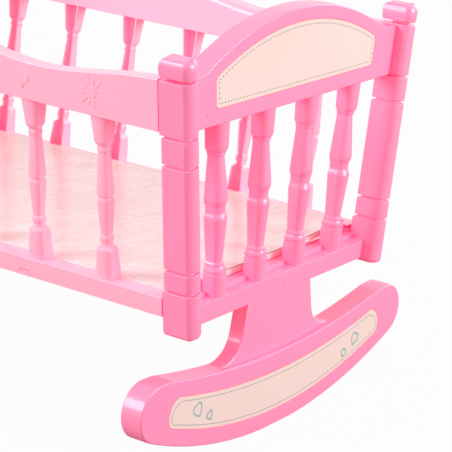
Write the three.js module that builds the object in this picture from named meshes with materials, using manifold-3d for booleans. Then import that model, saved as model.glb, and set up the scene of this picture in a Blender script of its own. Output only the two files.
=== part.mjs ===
// A doll's rocking cradle in moulded pink plastic. Millimetres, +Z up.
// The origin is on the floor under the middle of the crib. X runs along the crib and Y across it.
// Two end panels carry two side panels that lean outward, a floor board lies between them on two
// cross bars, and a rocker with its pedestal plugs into each end panel's lower rail from below.
import * as THREE from 'three';
import { mergeVertices } from 'three/addons/utils/BufferGeometryUtils.js';
import Module from 'manifold-3d';

const wasm = await Module();
wasm.setup();

// Driving dimensions of the whole crib.
const cribLength = 486.6;      // between the front edges of the posts at the two ends
const standHeight = 106;       // from the floor up to the feet of the posts
const postSpread = 254;        // between the post centre lines at their feet
const leanShare = 0.12;        // outward lean of posts and sides, as rise over run
const seatGap = 0.3;           // left between pieces that touch
const finest = 0.01;           // edges shorter than this are closed up after a join
const cutOverrun = 2;          // how far a cutting shape runs past the face that it cuts
const embed = 1.5;             // how far joined shapes run into each other inside one moulding
const leanAngle = Math.atan(leanShare);
const alongLean = 1 / Math.cos(leanAngle);

// A post is flat on three sides and bulges at the front. Its heights run along its leaning axis.
const post = {
  width: 17,
  bulge: 4.5,
  depth: 20.4,
  blockDepth: 22,
  footEdge: 1,
  footRound: 3.2,
  grooveHeights: [36.8, 53.3, 135.3, 156.8],
  grooveDepth: 1.2,
  grooveWidth: 1.1,
  grooveLip: 0.5,
  shoulder: 0.9,
  top: 198.7,
  neckInset: 3.2,
  neckHeight: 1.6,
  finialHeight: 14.4,
  capInset: 4.2,
  capHeight: 1.5,
  capEdge: 0.6,
};
const postFrontSteps = 5;
const roundSteps = 3;

// The end panel's cross pieces. Distances named "back" are measured behind the posts' front edge.
const header = {
  front: 6,
  thickness: 19,
  bottom: 156.9,
  apex: 231,
  archRadius: 246,
  archEnd: 118,
  flareRadius: 27,
};
const archSteps = 22;
const flareSteps = 3;

const endRail = {
  front: 7,
  bottom: 4.2,
  ledge: 19.5,
  lip: 22.7,
  lipFront: 17.3,
  back: 31,
  wall: 2.8,
  roof: 3.2,
  channelBack: 22.3,
  channelReach: 112,
};

const endBaluster = {
  crease: 12.6,
  depth: 9.3,
  halfWidth: 8.1,
  bulgeShare: 0.66,
  tuck: 0,
};
const endBalusterPlaceShares = [-0.622, -0.209, 0.209, 0.622];

// The side panel. Its outer face stands outside the posts' centre lines by faceOut.
const side = {
  faceOut: 6.5,
  thickness: 17.1,
  railBottom: 12.8,
  ledge: 28,
  railWall: 3,
  flange: 2.8,
  endWeb: 3.5,
  topRailBottom: 157.7,
  postTop: 197.4,
  dipTop: 187,
  crestTop: 199.5,
  dipFromFront: 135,
  innerRound: 5,
  outerRound: 1,
};
const railStations = 22;
const innerRoundSteps = 3;

// The row of side balusters stands a little off the middle of its panel, by shift.
const sideBaluster = {
  count: 6,
  pitch: 65.9,
  shift: -3.7,
  setback: 6.3,
  depth: 10.8,
  halfWidth: 8,
  bulgeShare: 0.56,
  tuck: 1,
};

// A tongue on each end of each side rail stands in a slot in the back of a post.
const tongue = {
  thickness: 5,
  length: 10,
  lowBottom: 15.5,
  lowTop: 25.5,
  highBottom: 164,
  highTop: 190,
};

// Turned outlines: height as a share of the baluster, half width as a share of its widest.
const endBalusterShares = [
  [0, 1], [0.13, 0.969], [0.137, 0.88], [0.144, 0.963], [0.158, 0.963], [0.166, 0.79],
  [0.186, 0.765], [0.196, 0.667], [0.448, 0.963], [0.47, 0.91], [0.485, 0.716], [0.52, 0.716],
  [0.532, 0.89], [0.556, 1], [0.799, 0.679], [0.807, 0.63], [0.815, 0.753], [0.825, 0.753],
  [0.829, 0.68], [0.837, 0.86], [0.852, 0.988], [1, 1],
];
const sideBalusterShares = [
  [0, 1], [0.17, 0.81], [0.187, 0.68], [0.196, 0.49], [0.217, 0.47], [0.229, 0.55],
  [0.252, 0.55], [0.265, 0.456], [0.47, 0.67], [0.486, 0.65], [0.498, 0.61], [0.511, 0.65],
  [0.528, 0.68], [0.765, 0.468], [0.78, 0.55], [0.81, 0.463], [0.824, 0.56], [0.84, 0.75],
  [1, 0.973],
];
// Levels at which the hollow back of a baluster follows its outline.
const endHollowShares = [0.03, 0.14, 0.19, 0.46, 0.5, 0.56, 0.8, 0.86, 0.97];
const sideHollowShares = [0.03, 0.17, 0.23, 0.5, 0.78, 0.86, 0.97];
const balusterWall = 1.8;
const hollowLeast = 1.6;
const balusterFrontSteps = 4;

// Front bulges are the part of a circle within this angle of its middle.
const bulgeAngle = THREE.MathUtils.degToRad(66);

// The floor board and the two bars under it.
const board = { thickness: 5, endClearance: 1.7, sideClearance: 0.4 };
const crossBar = {
  spacing: 173,
  width: 18,
  height: 8.8,
  wall: 2.4,
  web: 6,
  tabWidth: 10.4,
  tabHeight: 4.4,
};
const catchNotch = { width: 11, height: 4.8 };

// The rocker: a curved beam with a pedestal. Heights are measured from the feet of the posts.
// The middle of its tread is flat over restHalf to each side, so that it comes to rest upright.
const rocker = {
  front: 3,
  back: 22.5,
  treadRadius: 432,
  restHalf: 20,
  topHeight: -44,
  topRadius: 750,
  endRadius: 22.5,
  endReach: 182,
  topCorner: 147,
};
const treadSteps = 12;
const beamTopSteps = 16;
const beamEndSteps = 9;
const pedestal = {
  front: 8.5,
  back: 22,
  headHalf: 43.8,
  waistHalf: 48.5,
  waistHeight: -20,
  toeHalf: 76,
  tongueInset: 7,
  tongueFront: 10.1,
  tongueHeight: 11.8,
};

// The two decorated plates are let into shallow recesses.
const plate = { thickness: 1.5, recess: 1.9 };
const headerPlate = {
  bottom: 169.3,
  halfBottom: 107,
  halfTop: 109.5,
  border: 11,
  cornerRadius: 4.6,
};
const rockerPlate = {
  halfLength: 147.5,
  topHeight: -60,
  topRadius: 600,
  lowHeight: -93,
  lowRadius: 420,
  topCorner: 135,
  lowCorner: 139.5,
};
const plateSteps = 14;
const plateEndSteps = 8;
const cornerSteps = 5;

const cleanPlastic = { roughness: 0.28, metalness: 0 };
const pink = new THREE.MeshStandardMaterial({ color: 0xff8fb4, ...cleanPlastic });
const lightPink = new THREE.MeshStandardMaterial({ color: 0xffacc8, ...cleanPlastic });
const peach = new THREE.MeshStandardMaterial({ color: 0xffddd5, roughness: 0.4, metalness: 0 });
const offWhite = new THREE.MeshStandardMaterial({ color: 0xfdebeb, roughness: 0.25, metalness: 0 });

// Solids and booleans.
function toSolid(geometry) {
  const bare = new THREE.BufferGeometry();
  bare.setAttribute('position', geometry.getAttribute('position'));
  bare.setIndex(geometry.index);
  const merged = mergeVertices(bare);
  const vertProperties = new Float32Array(merged.getAttribute('position').array);
  const triVerts = new Uint32Array(merged.index.array);
  return new wasm.Manifold(new wasm.Mesh({ numProp: 3, vertProperties, triVerts }));
}

function toGeometry(solid) {
  const mesh = solid.getMesh();
  const geometry = new THREE.BufferGeometry();
  geometry.setAttribute('position', new THREE.BufferAttribute(new Float32Array(mesh.vertProperties), 3));
  geometry.setIndex(new THREE.BufferAttribute(new Uint32Array(mesh.triVerts), 1));
  geometry.computeVertexNormals();
  return geometry;
}

function moulding(shapes, cuts) {
  let solid = wasm.Manifold.union(shapes.map(toSolid));
  if (cuts.length > 0) {
    solid = solid.subtract(wasm.Manifold.union(cuts.map(toSolid)));
  }
  return toGeometry(solid.simplify(finest));
}

// A closed skin over a row of rings with equal counts of points. Each ring turns counter-clockwise
// when it is seen from the last one, and both end rings are flat and convex.
function loft(rings) {
  const count = rings[0].length;
  const positions = rings.flat().flatMap((point) => point.toArray());
  const index = [];
  for (let level = 0; level + 1 < rings.length; level += 1) {
    for (let i = 0; i < count; i += 1) {
      const here = level * count + i;
      const beside = level * count + (i + 1) % count;
      index.push(here, beside, beside + count, here, beside + count, here + count);
    }
  }
  const last = (rings.length - 1) * count;
  for (let i = 1; i + 1 < count; i += 1) {
    index.push(0, i + 1, i);
    index.push(last, last + i, last + i + 1);
  }
  const geometry = new THREE.BufferGeometry();
  geometry.setAttribute('position', new THREE.Float32BufferAttribute(positions, 3));
  geometry.setIndex(index);
  return geometry;
}

// A block between two corners.
function block(low, high) {
  const size = new THREE.Vector3().subVectors(high, low);
  const geometry = new THREE.BoxGeometry(size.x, size.y, size.z);
  const middle = new THREE.Vector3().addVectors(low, high).multiplyScalar(0.5);
  return geometry.translate(middle.x, middle.y, middle.z);
}

// An outline in Y and Z, given as points, carried along X from start to end.
function slabAlongX(points, start, end) {
  const shape = new THREE.Shape(points);
  const geometry = new THREE.ExtrudeGeometry(shape, { depth: end - start, bevelEnabled: false });
  const turn = new THREE.Matrix4().makeBasis(
    new THREE.Vector3(0, 1, 0),
    new THREE.Vector3(0, 0, 1),
    new THREE.Vector3(1, 0, 0),
  );
  return geometry.applyMatrix4(turn).translate(start, 0, 0);
}

// An outline in X and Z, given as points, carried along Y from start to end.
function slabAlongY(points, start, end) {
  const shape = new THREE.Shape(points);
  const geometry = new THREE.ExtrudeGeometry(shape, { depth: end - start, bevelEnabled: false });
  const turn = new THREE.Matrix4().makeBasis(
    new THREE.Vector3(1, 0, 0),
    new THREE.Vector3(0, 0, 1),
    new THREE.Vector3(0, -1, 0),
  );
  return geometry.applyMatrix4(turn).translate(0, end, 0);
}

// An outline whose corners carry a radius: each entry is a point and the radius of its corner.
function roundedOutline(corners) {
  const points = [];
  corners.forEach(({ at, radius }, i) => {
    if (!radius) {
      points.push(at.clone());
      return;
    }
    const before = corners[(i + corners.length - 1) % corners.length].at;
    const after = corners[(i + 1) % corners.length].at;
    const toBefore = before.clone().sub(at).normalize();
    const toAfter = after.clone().sub(at).normalize();
    const half = toBefore.angleTo(toAfter) / 2;
    const reach = radius / Math.tan(half);
    const towardCentre = toBefore.clone().add(toAfter).normalize();
    const centre = at.clone().addScaledVector(towardCentre, radius / Math.sin(half));
    const start = at.clone().addScaledVector(toBefore, reach).sub(centre);
    const end = at.clone().addScaledVector(toAfter, reach).sub(centre);
    const from = Math.atan2(start.y, start.x);
    let sweep = Math.atan2(end.y, end.x) - from;
    sweep = Math.atan2(Math.sin(sweep), Math.cos(sweep));
    for (let step = 0; step <= cornerSteps; step += 1) {
      const angle = from + sweep * step / cornerSteps;
      const spoke = new THREE.Vector2(Math.cos(angle), Math.sin(angle));
      points.push(spoke.multiplyScalar(radius).add(centre));
    }
  });
  return points;
}

// A section with a flat back and flat sides whose front bulges. X points out of the front.
function bulgedSection(halfWidth, depth, bulge, steps) {
  const points = [new THREE.Vector2(-depth, -halfWidth)];
  for (let step = 0; step <= steps; step += 1) {
    const angle = bulgeAngle * (2 * step / steps - 1);
    const rise = (Math.cos(angle) - Math.cos(bulgeAngle)) / (1 - Math.cos(bulgeAngle));
    points.push(new THREE.Vector2(bulge * rise, halfWidth * Math.sin(angle) / Math.sin(bulgeAngle)));
  }
  points.push(new THREE.Vector2(-depth, halfWidth));
  return points;
}

function ringAt(section, height) {
  return section.map((point) => new THREE.Vector3(point.x, point.y, height));
}

// The half width of a turned outline at a share of its height.
function widthShareAt(shares, level) {
  const upper = shares.findIndex(([height]) => height >= level);
  if (upper <= 0) {
    return shares[0][1];
  }
  const [lowHeight, lowWidth] = shares[upper - 1];
  const [highHeight, highWidth] = shares[upper];
  return THREE.MathUtils.mapLinear(level, lowHeight, highHeight, lowWidth, highWidth);
}

// A baluster stands on z = 0 with its front crease on x = 0, and its hollow opens at the back.
// Its depth follows its width by the share tuck: 0 keeps a flat back, 1 is turned all round.
function balusterShape(sizes, shares, height) {
  const ring = (width, level) => {
    const half = width * sizes.halfWidth;
    const depth = sizes.depth * (1 - sizes.tuck * (1 - width));
    return ringAt(bulgedSection(half, depth, half * sizes.bulgeShare, balusterFrontSteps), level);
  };
  const [widthLow, widthHigh] = [shares[0][1], shares[shares.length - 1][1]];
  const middle = shares.slice(1, -1).map(([level, width]) => ring(width, level * height));
  return loft([ring(widthLow, -embed), ...middle, ring(widthHigh, height + embed)]);
}

function balusterHollow(sizes, shares, levels, height) {
  const rings = levels.map((level) => {
    const outer = widthShareAt(shares, level) * sizes.halfWidth;
    const half = Math.max(outer - balusterWall, hollowLeast);
    const front = Math.max(outer * sizes.bulgeShare - balusterWall, 0);
    const open = -sizes.depth - cutOverrun;
    const section = [
      new THREE.Vector2(open, -half),
      new THREE.Vector2(-balusterWall / 2, -half),
      new THREE.Vector2(front, 0),
      new THREE.Vector2(-balusterWall / 2, half),
      new THREE.Vector2(open, half),
    ];
    return ringAt(section, level * height);
  });
  return loft(rings);
}

// A post upright on z = 0, with its front crease on x = 0.
function postShape() {
  const half = post.width / 2;
  const rings = [];
  const add = (height, inset, depth) => {
    const section = bulgedSection(half - inset, depth - inset, post.bulge - inset, postFrontSteps);
    rings.push(ringAt(section, height));
  };
  add(0, post.footRound, post.blockDepth);
  add(post.footEdge, post.footEdge, post.blockDepth);
  add(post.footRound, 0, post.blockDepth);
  const lastGroove = post.grooveHeights.length - 1;
  post.grooveHeights.forEach((height, i) => {
    const low = height - post.grooveWidth / 2;
    const high = height + post.grooveWidth / 2;
    const depthBelow = i === 0 ? post.blockDepth : post.depth;
    const depthAbove = i === lastGroove ? post.blockDepth : post.depth;
    add(low - post.grooveLip, 0, depthBelow);
    add(low, post.grooveDepth, post.depth);
    add(high, post.grooveDepth, post.depth);
    add(high + post.grooveLip, 0, depthAbove);
  });
  const neckTop = post.top + post.neckHeight;
  const finialTop = neckTop + post.finialHeight;
  add(post.top - post.shoulder, 0, post.blockDepth);
  add(post.top, post.shoulder, post.blockDepth);
  add(post.top, post.neckInset, post.blockDepth);
  add(neckTop, post.neckInset, post.blockDepth);
  for (let step = 1; step < roundSteps; step += 1) {
    const angle = Math.PI / 2 * step / roundSteps;
    const inset = post.neckInset * (1 - Math.sin(angle));
    add(neckTop + post.finialHeight / 2 * (1 - Math.cos(angle)), inset, post.blockDepth);
  }
  for (let step = 0; step <= roundSteps; step += 1) {
    const angle = Math.PI / 2 * step / roundSteps;
    const inset = post.neckInset * (1 - Math.cos(angle));
    add(neckTop + post.finialHeight / 2 * (1 + Math.sin(angle)), inset, post.blockDepth);
  }
  add(finialTop, post.capInset, post.blockDepth);
  add(finialTop + post.capHeight - post.capEdge, post.capInset, post.blockDepth);
  add(finialTop + post.capHeight, post.capInset + post.capEdge, post.blockDepth);
  return loft(rings);
}

// Puts a shape that was made upright onto a line that leans across the crib from its foot.
function leanAcross(geometry, placeShare) {
  const foot = placeShare * postSpread / 2;
  return geometry.rotateX(-Math.atan(placeShare * leanShare)).translate(0, foot, 0);
}

// Leans a side panel's shape outward over the line between the feet of the posts.
function leanOut(geometry) {
  return geometry.rotateY(leanAngle).translate(postSpread / 2, 0, 0);
}

// Half of the distance across the crib to the outer face of a side panel at a height.
function faceAt(height) {
  return postSpread / 2 + height * leanShare + side.faceOut * alongLean;
}

// Half of the distance between the posts' inner walls at a height.
function postWallAt(height) {
  return (postSpread - post.width * alongLean) / 2 + height * leanShare;
}

function archHeight(across, apex, radius) {
  return apex - radius + Math.sqrt(radius ** 2 - across ** 2);
}

// The header's outline: an arch that flares to level where it meets the posts.
function headerOutline() {
  const slope = Math.asin(header.archEnd / header.archRadius);
  const endHeight = archHeight(header.archEnd, header.apex, header.archRadius);
  const flareCentre = new THREE.Vector2(
    header.archEnd + header.flareRadius * Math.sin(slope),
    endHeight + header.flareRadius * Math.cos(slope),
  );
  const shoulderHeight = flareCentre.y - header.flareRadius;
  const shoulderReach = postWallAt(shoulderHeight) + embed;
  const bottomReach = postWallAt(header.bottom) + embed;
  const right = [
    new THREE.Vector2(bottomReach, header.bottom),
    new THREE.Vector2(shoulderReach, shoulderHeight),
  ];
  for (let step = 0; step < flareSteps; step += 1) {
    const angle = slope * step / flareSteps;
    right.push(new THREE.Vector2(
      flareCentre.x - header.flareRadius * Math.sin(angle),
      flareCentre.y - header.flareRadius * Math.cos(angle),
    ));
  }
  const arch = [];
  for (let step = 0; step <= archSteps; step += 1) {
    const angle = slope * (1 - 2 * step / archSteps);
    const across = header.archRadius * Math.sin(angle);
    arch.push(new THREE.Vector2(across, archHeight(across, header.apex, header.archRadius)));
  }
  const left = right.map((point) => new THREE.Vector2(-point.x, point.y)).reverse();
  return [...right, ...arch, ...left];
}

// The plate in the header keeps an even border below the arch. The inset shrinks it on all sides.
function headerPlateOutline(inset) {
  const radius = header.archRadius - headerPlate.border - inset;
  const apex = header.apex - headerPlate.border - inset;
  const bottom = headerPlate.bottom + inset;
  const halfBottom = headerPlate.halfBottom - inset;
  const halfTop = headerPlate.halfTop - inset;
  const corner = headerPlate.cornerRadius - inset;
  const corners = [
    { at: new THREE.Vector2(-halfBottom, bottom), radius: corner },
    { at: new THREE.Vector2(halfBottom, bottom), radius: corner },
  ];
  const end = Math.asin(halfTop / radius);
  for (let step = 0; step <= plateSteps; step += 1) {
    const across = radius * Math.sin(end * (1 - 2 * step / plateSteps));
    const atEnd = step === 0 || step === plateSteps;
    const at = new THREE.Vector2(across, archHeight(across, apex, radius));
    corners.push({ at, radius: atEnd ? corner : 0 });
  }
  return roundedOutline(corners);
}

// The lower rail of the end panel: a ledge in front, a raised lip behind and a channel below.
function endRailShapes() {
  const reach = postWallAt(endRail.bottom) + embed;
  const rearReach = boardHalfWidth() - seatGap;
  const front = [
    new THREE.Vector2(-post.depth, endRail.bottom),
    new THREE.Vector2(-endRail.front, endRail.bottom),
    new THREE.Vector2(-endRail.front, endRail.ledge),
    new THREE.Vector2(-endRail.lipFront, endRail.ledge),
    new THREE.Vector2(-endRail.lipFront, endRail.lip),
    new THREE.Vector2(-post.depth, endRail.lip),
  ];
  const rear = [
    new THREE.Vector2(-endRail.back, endRail.bottom),
    new THREE.Vector2(-endRail.lipFront, endRail.bottom),
    new THREE.Vector2(-endRail.lipFront, endRail.lip),
    new THREE.Vector2(-endRail.back, endRail.lip),
  ];
  return [slabAlongY(front, -reach, reach), slabAlongY(rear, -rearReach, rearReach)];
}

function endRailChannel() {
  const roof = endRail.ledge - endRail.roof;
  const low = new THREE.Vector3(-endRail.channelBack, -endRail.channelReach, endRail.bottom - cutOverrun);
  const high = new THREE.Vector3(-endRail.front - endRail.wall, endRail.channelReach, roof);
  return block(low, high);
}

function tongueLevels() {
  return [[tongue.lowBottom, tongue.lowTop], [tongue.highBottom, tongue.highTop]];
}

// The slots in the back of a post that take the side rails' tongues, in the post's own frame.
function postSlots() {
  return tongueLevels().map(([bottom, top]) => block(
    new THREE.Vector3(-post.blockDepth - cutOverrun, -tongue.thickness / 2 - seatGap, bottom - seatGap),
    new THREE.Vector3(-post.blockDepth + tongue.length, tongue.thickness / 2 + seatGap, top + seatGap),
  ));
}

// Behind the posts the header stops short of the side panels' top rails, which stand against it.
function headerReliefs() {
  const inner = faceAt(header.bottom) - side.thickness - seatGap;
  const outer = postWallAt(header.apex) + cutOverrun;
  const back = -header.front - header.thickness - cutOverrun;
  return [[inner, outer], [-outer, -inner]].map(([from, to]) => block(
    new THREE.Vector3(back, from, header.bottom - cutOverrun),
    new THREE.Vector3(-post.blockDepth, to, header.apex),
  ));
}

function endPanel() {
  const headerSlab = slabAlongX(headerOutline(), -header.front - header.thickness, -header.front);
  const shapes = [headerSlab, ...endRailShapes()];
  const cuts = [endRailChannel(), ...headerReliefs()];
  for (const placeShare of [-1, 1]) {
    shapes.push(leanAcross(postShape(), placeShare));
    cuts.push(...postSlots().map((slot) => leanAcross(slot, placeShare)));
  }
  const rise = header.bottom - endRail.ledge;
  for (const placeShare of endBalusterPlaceShares) {
    const height = rise / Math.cos(Math.atan(placeShare * leanShare));
    const foot = endRail.ledge / Math.cos(Math.atan(placeShare * leanShare));
    const solid = balusterShape(endBaluster, endBalusterShares, height);
    const hollow = balusterHollow(endBaluster, endBalusterShares, endHollowShares, height);
    shapes.push(leanAcross(solid.translate(-endBaluster.crease, 0, foot), placeShare));
    cuts.push(leanAcross(hollow.translate(-endBaluster.crease, 0, foot), placeShare));
  }
  const recess = plateRecess(headerPlateOutline(0), header.front);
  return moulding(shapes, [...cuts, recess]);
}

// The top edge of a side panel dips between the posts and a low crest in the middle.
function sideTopAt(along) {
  const dip = cribLength / 2 - side.dipFromFront;
  const distance = Math.abs(along);
  if (distance < dip) {
    return side.dipTop + (side.crestTop - side.dipTop) * (1 + Math.cos(Math.PI * distance / dip)) / 2;
  }
  const postSide = cribLength / 2 - post.blockDepth;
  const share = (distance - dip) / (postSide - dip);
  return side.dipTop + (side.postTop - side.dipTop) * (1 - Math.cos(Math.PI * share)) / 2;
}

// The top rail's section in the leaning frame, level across its top and rounded at the inner edge.
function topRailSection(along) {
  const inner = side.faceOut - side.thickness;
  const bottom = side.topRailBottom * alongLean;
  const top = sideTopAt(along) * alongLean;
  const levelAt = (across) => top + (across - side.faceOut) * leanShare;
  const points = [
    new THREE.Vector2(inner, bottom),
    new THREE.Vector2(side.faceOut, bottom),
    new THREE.Vector2(side.faceOut, levelAt(side.faceOut) - side.outerRound),
    new THREE.Vector2(side.faceOut - side.outerRound, levelAt(side.faceOut - side.outerRound)),
  ];
  for (let step = 0; step <= innerRoundSteps; step += 1) {
    const angle = Math.PI / 2 * step / innerRoundSteps;
    const across = inner + side.innerRound * (1 - Math.sin(angle));
    points.push(new THREE.Vector2(across, levelAt(across) - side.innerRound * (1 - Math.cos(angle))));
  }
  return points.map((point) => new THREE.Vector3(point.x, along, point.y));
}

function topRail() {
  const reach = cribLength / 2 - post.blockDepth - seatGap;
  const rings = [];
  for (let station = 0; station <= railStations; station += 1) {
    rings.push(topRailSection(reach * (1 - 2 * station / railStations)));
  }
  return loft(rings);
}

// Half of the distance between the two side panels' ledges, which the board lies between.
function ledgeInnerAt() {
  return faceAt(side.ledge) - side.thickness;
}

function boardHalfWidth() {
  return ledgeInnerAt() - board.sideClearance;
}

// The lower side rail, upright: a leaning outer wall under a level ledge.
function lowerRail() {
  const reach = cribLength / 2 - post.blockDepth - seatGap;
  const under = side.ledge - side.flange;
  const section = [
    new THREE.Vector2(faceAt(side.railBottom) - side.railWall, side.railBottom),
    new THREE.Vector2(faceAt(side.railBottom), side.railBottom),
    new THREE.Vector2(faceAt(side.ledge), side.ledge),
    new THREE.Vector2(ledgeInnerAt(), side.ledge),
    new THREE.Vector2(ledgeInnerAt(), under),
    new THREE.Vector2(faceAt(under) - side.railWall, under),
  ];
  const web = [
    new THREE.Vector2(ledgeInnerAt(), under - cutOverrun),
    new THREE.Vector2(faceAt(side.railBottom) - side.faceOut - tongue.thickness, side.railBottom),
    new THREE.Vector2(faceAt(side.railBottom), side.railBottom),
    new THREE.Vector2(faceAt(side.ledge), side.ledge),
    new THREE.Vector2(ledgeInnerAt(), side.ledge),
  ];
  return [
    slabAlongY(section, -reach, reach),
    slabAlongY(web, -reach, -reach + side.endWeb),
    slabAlongY(web, reach - side.endWeb, reach),
  ];
}

function sideTongues() {
  const seat = cribLength / 2 - post.blockDepth - seatGap;
  return tongueLevels().flatMap(([bottom, top]) => [-1, 1].map((end) => {
    const from = end * (seat - embed);
    const to = end * (seat + tongue.length);
    return leanOut(block(
      new THREE.Vector3(-tongue.thickness / 2, Math.min(from, to), bottom),
      new THREE.Vector3(tongue.thickness / 2, Math.max(from, to), top),
    ));
  }));
}

// The notches in the bottom edge of the lower rail, where the cross bars' tabs show.
function catchNotches() {
  const outer = faceAt(side.ledge) + cutOverrun;
  const inner = faceAt(side.railBottom) - side.railWall - cutOverrun;
  const low = side.railBottom - cutOverrun;
  const high = side.railBottom + catchNotch.height;
  return [-1, 1].map((end) => block(
    new THREE.Vector3(inner, (end * crossBar.spacing - catchNotch.width) / 2, low),
    new THREE.Vector3(outer, (end * crossBar.spacing + catchNotch.width) / 2, high),
  ));
}

// A side panel with its outer face toward +X and its length along Y.
function sidePanel() {
  const shapes = [leanOut(topRail()), ...lowerRail(), ...sideTongues()];
  const cuts = catchNotches();
  const foot = side.ledge * alongLean;
  const height = (side.topRailBottom - side.ledge) * alongLean;
  const crease = side.faceOut - sideBaluster.setback;
  for (let i = 0; i < sideBaluster.count; i += 1) {
    const along = (i - (sideBaluster.count - 1) / 2) * sideBaluster.pitch + sideBaluster.shift;
    const solid = balusterShape(sideBaluster, sideBalusterShares, height);
    const hollow = balusterHollow(sideBaluster, sideBalusterShares, sideHollowShares, height);
    shapes.push(leanOut(solid.translate(crease, along, foot)));
    cuts.push(leanOut(hollow.translate(crease, along, foot)));
  }
  return moulding(shapes, cuts);
}

function boardBottom() {
  return endRail.lip + seatGap;
}

function floorBoard() {
  const halfLength = cribLength / 2 - post.blockDepth - side.endWeb;
  const halfWidth = boardHalfWidth();
  const bottom = boardBottom();
  return block(
    new THREE.Vector3(-halfLength + board.endClearance, -halfWidth, bottom),
    new THREE.Vector3(halfLength - board.endClearance, halfWidth, bottom + board.thickness),
  );
}

// A cross bar is a channel open below. A tab at each end reaches out through the rail's notch.
function crossBarShape() {
  const top = boardBottom() - seatGap;
  const bottom = top - crossBar.height;
  const reach = faceAt(bottom) - side.railWall - seatGap;
  const half = crossBar.width / 2;
  const body = block(new THREE.Vector3(-half, -reach, bottom), new THREE.Vector3(half, reach, top));
  const channelHalf = half - crossBar.wall;
  const channel = block(
    new THREE.Vector3(-channelHalf, -reach + crossBar.web, bottom - cutOverrun),
    new THREE.Vector3(channelHalf, reach - crossBar.web, top - crossBar.wall),
  );
  const tabTop = side.railBottom + crossBar.tabHeight;
  const tabs = [-1, 1].map((end) => {
    const points = [
      new THREE.Vector2(end * (reach - crossBar.web), side.railBottom),
      new THREE.Vector2(end * faceAt(side.railBottom), side.railBottom),
      new THREE.Vector2(end * faceAt(tabTop), tabTop),
      new THREE.Vector2(end * (reach - crossBar.web), tabTop),
    ];
    return slabAlongX(points, -crossBar.tabWidth / 2, crossBar.tabWidth / 2);
  });
  return moulding([body, ...tabs], [channel]);
}

// The tread's round parts are arcs that meet the flat middle at restHalf, on the floor.
function treadCentreHeight() {
  return Math.sqrt(rocker.treadRadius ** 2 - rocker.restHalf ** 2) - standHeight;
}

function treadHeight(across) {
  return treadCentreHeight() - Math.sqrt(rocker.treadRadius ** 2 - across ** 2);
}

function beamTopHeight(across) {
  return rocker.topHeight + rocker.topRadius - Math.sqrt(rocker.topRadius ** 2 - across ** 2);
}

// The beam's outline. Its round ends run smoothly out of the tread, and each one is joined to a
// corner of the beam's top by the straight line that touches it.
function beamOutline() {
  const centre = new THREE.Vector2(rocker.endReach - rocker.endRadius, 0);
  const centreRadius = rocker.treadRadius - rocker.endRadius;
  centre.y = treadCentreHeight() - Math.sqrt(centreRadius ** 2 - centre.x ** 2);
  const corner = new THREE.Vector2(rocker.topCorner, beamTopHeight(rocker.topCorner));
  const toCorner = corner.clone().sub(centre);
  const lowAngle = Math.asin(centre.x / centreRadius) - Math.PI / 2;
  const highAngle = toCorner.angle() - Math.acos(rocker.endRadius / toCorner.length());
  const end = [];
  for (let step = 0; step <= beamEndSteps; step += 1) {
    const angle = lowAngle + (highAngle - lowAngle) * step / beamEndSteps;
    const spoke = new THREE.Vector2(Math.cos(angle), Math.sin(angle));
    end.push(spoke.multiplyScalar(rocker.endRadius).add(centre));
  }
  end.push(corner);
  const treadReach = end[0].x - rocker.restHalf;
  const tread = [];
  for (let step = 0; step < treadSteps; step += 1) {
    const across = rocker.restHalf + treadReach * step / treadSteps;
    tread.push(new THREE.Vector2(across, treadHeight(across)));
  }
  const top = [];
  for (let step = 1; step < beamTopSteps; step += 1) {
    const across = rocker.topCorner * (1 - 2 * step / beamTopSteps);
    top.push(new THREE.Vector2(across, beamTopHeight(across)));
  }
  const [leftEnd, leftTread] = [end, tread].map((part) => (
    part.map((point) => new THREE.Vector2(-point.x, point.y)).reverse()
  ));
  return [...leftTread, ...tread, ...end, ...top, ...leftEnd];
}

// The pedestal flares through a quarter-round sweep onto the top of the beam.
function pedestalOutline() {
  const headHeight = endRail.bottom - seatGap;
  const right = [new THREE.Vector2(pedestal.headHalf, headHeight)];
  const toe = new THREE.Vector2(pedestal.toeHalf, beamTopHeight(pedestal.toeHalf));
  const waist = new THREE.Vector2(pedestal.waistHalf, pedestal.waistHeight);
  const corner = new THREE.Vector2(
    pedestal.waistHalf + (pedestal.waistHeight - toe.y) * (pedestal.waistHalf - pedestal.headHalf)
      / (headHeight - pedestal.waistHeight),
    toe.y,
  );
  const sweep = new THREE.QuadraticBezierCurve(waist, corner, toe).getPoints(cornerSteps + 1);
  right.push(...sweep);
  const deep = (rocker.topHeight + rockerPlate.topHeight) / 2;
  right.push(new THREE.Vector2(pedestal.toeHalf, deep));
  const left = right.map((point) => new THREE.Vector2(-point.x, point.y));
  return [...left, ...right.reverse()];
}

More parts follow.
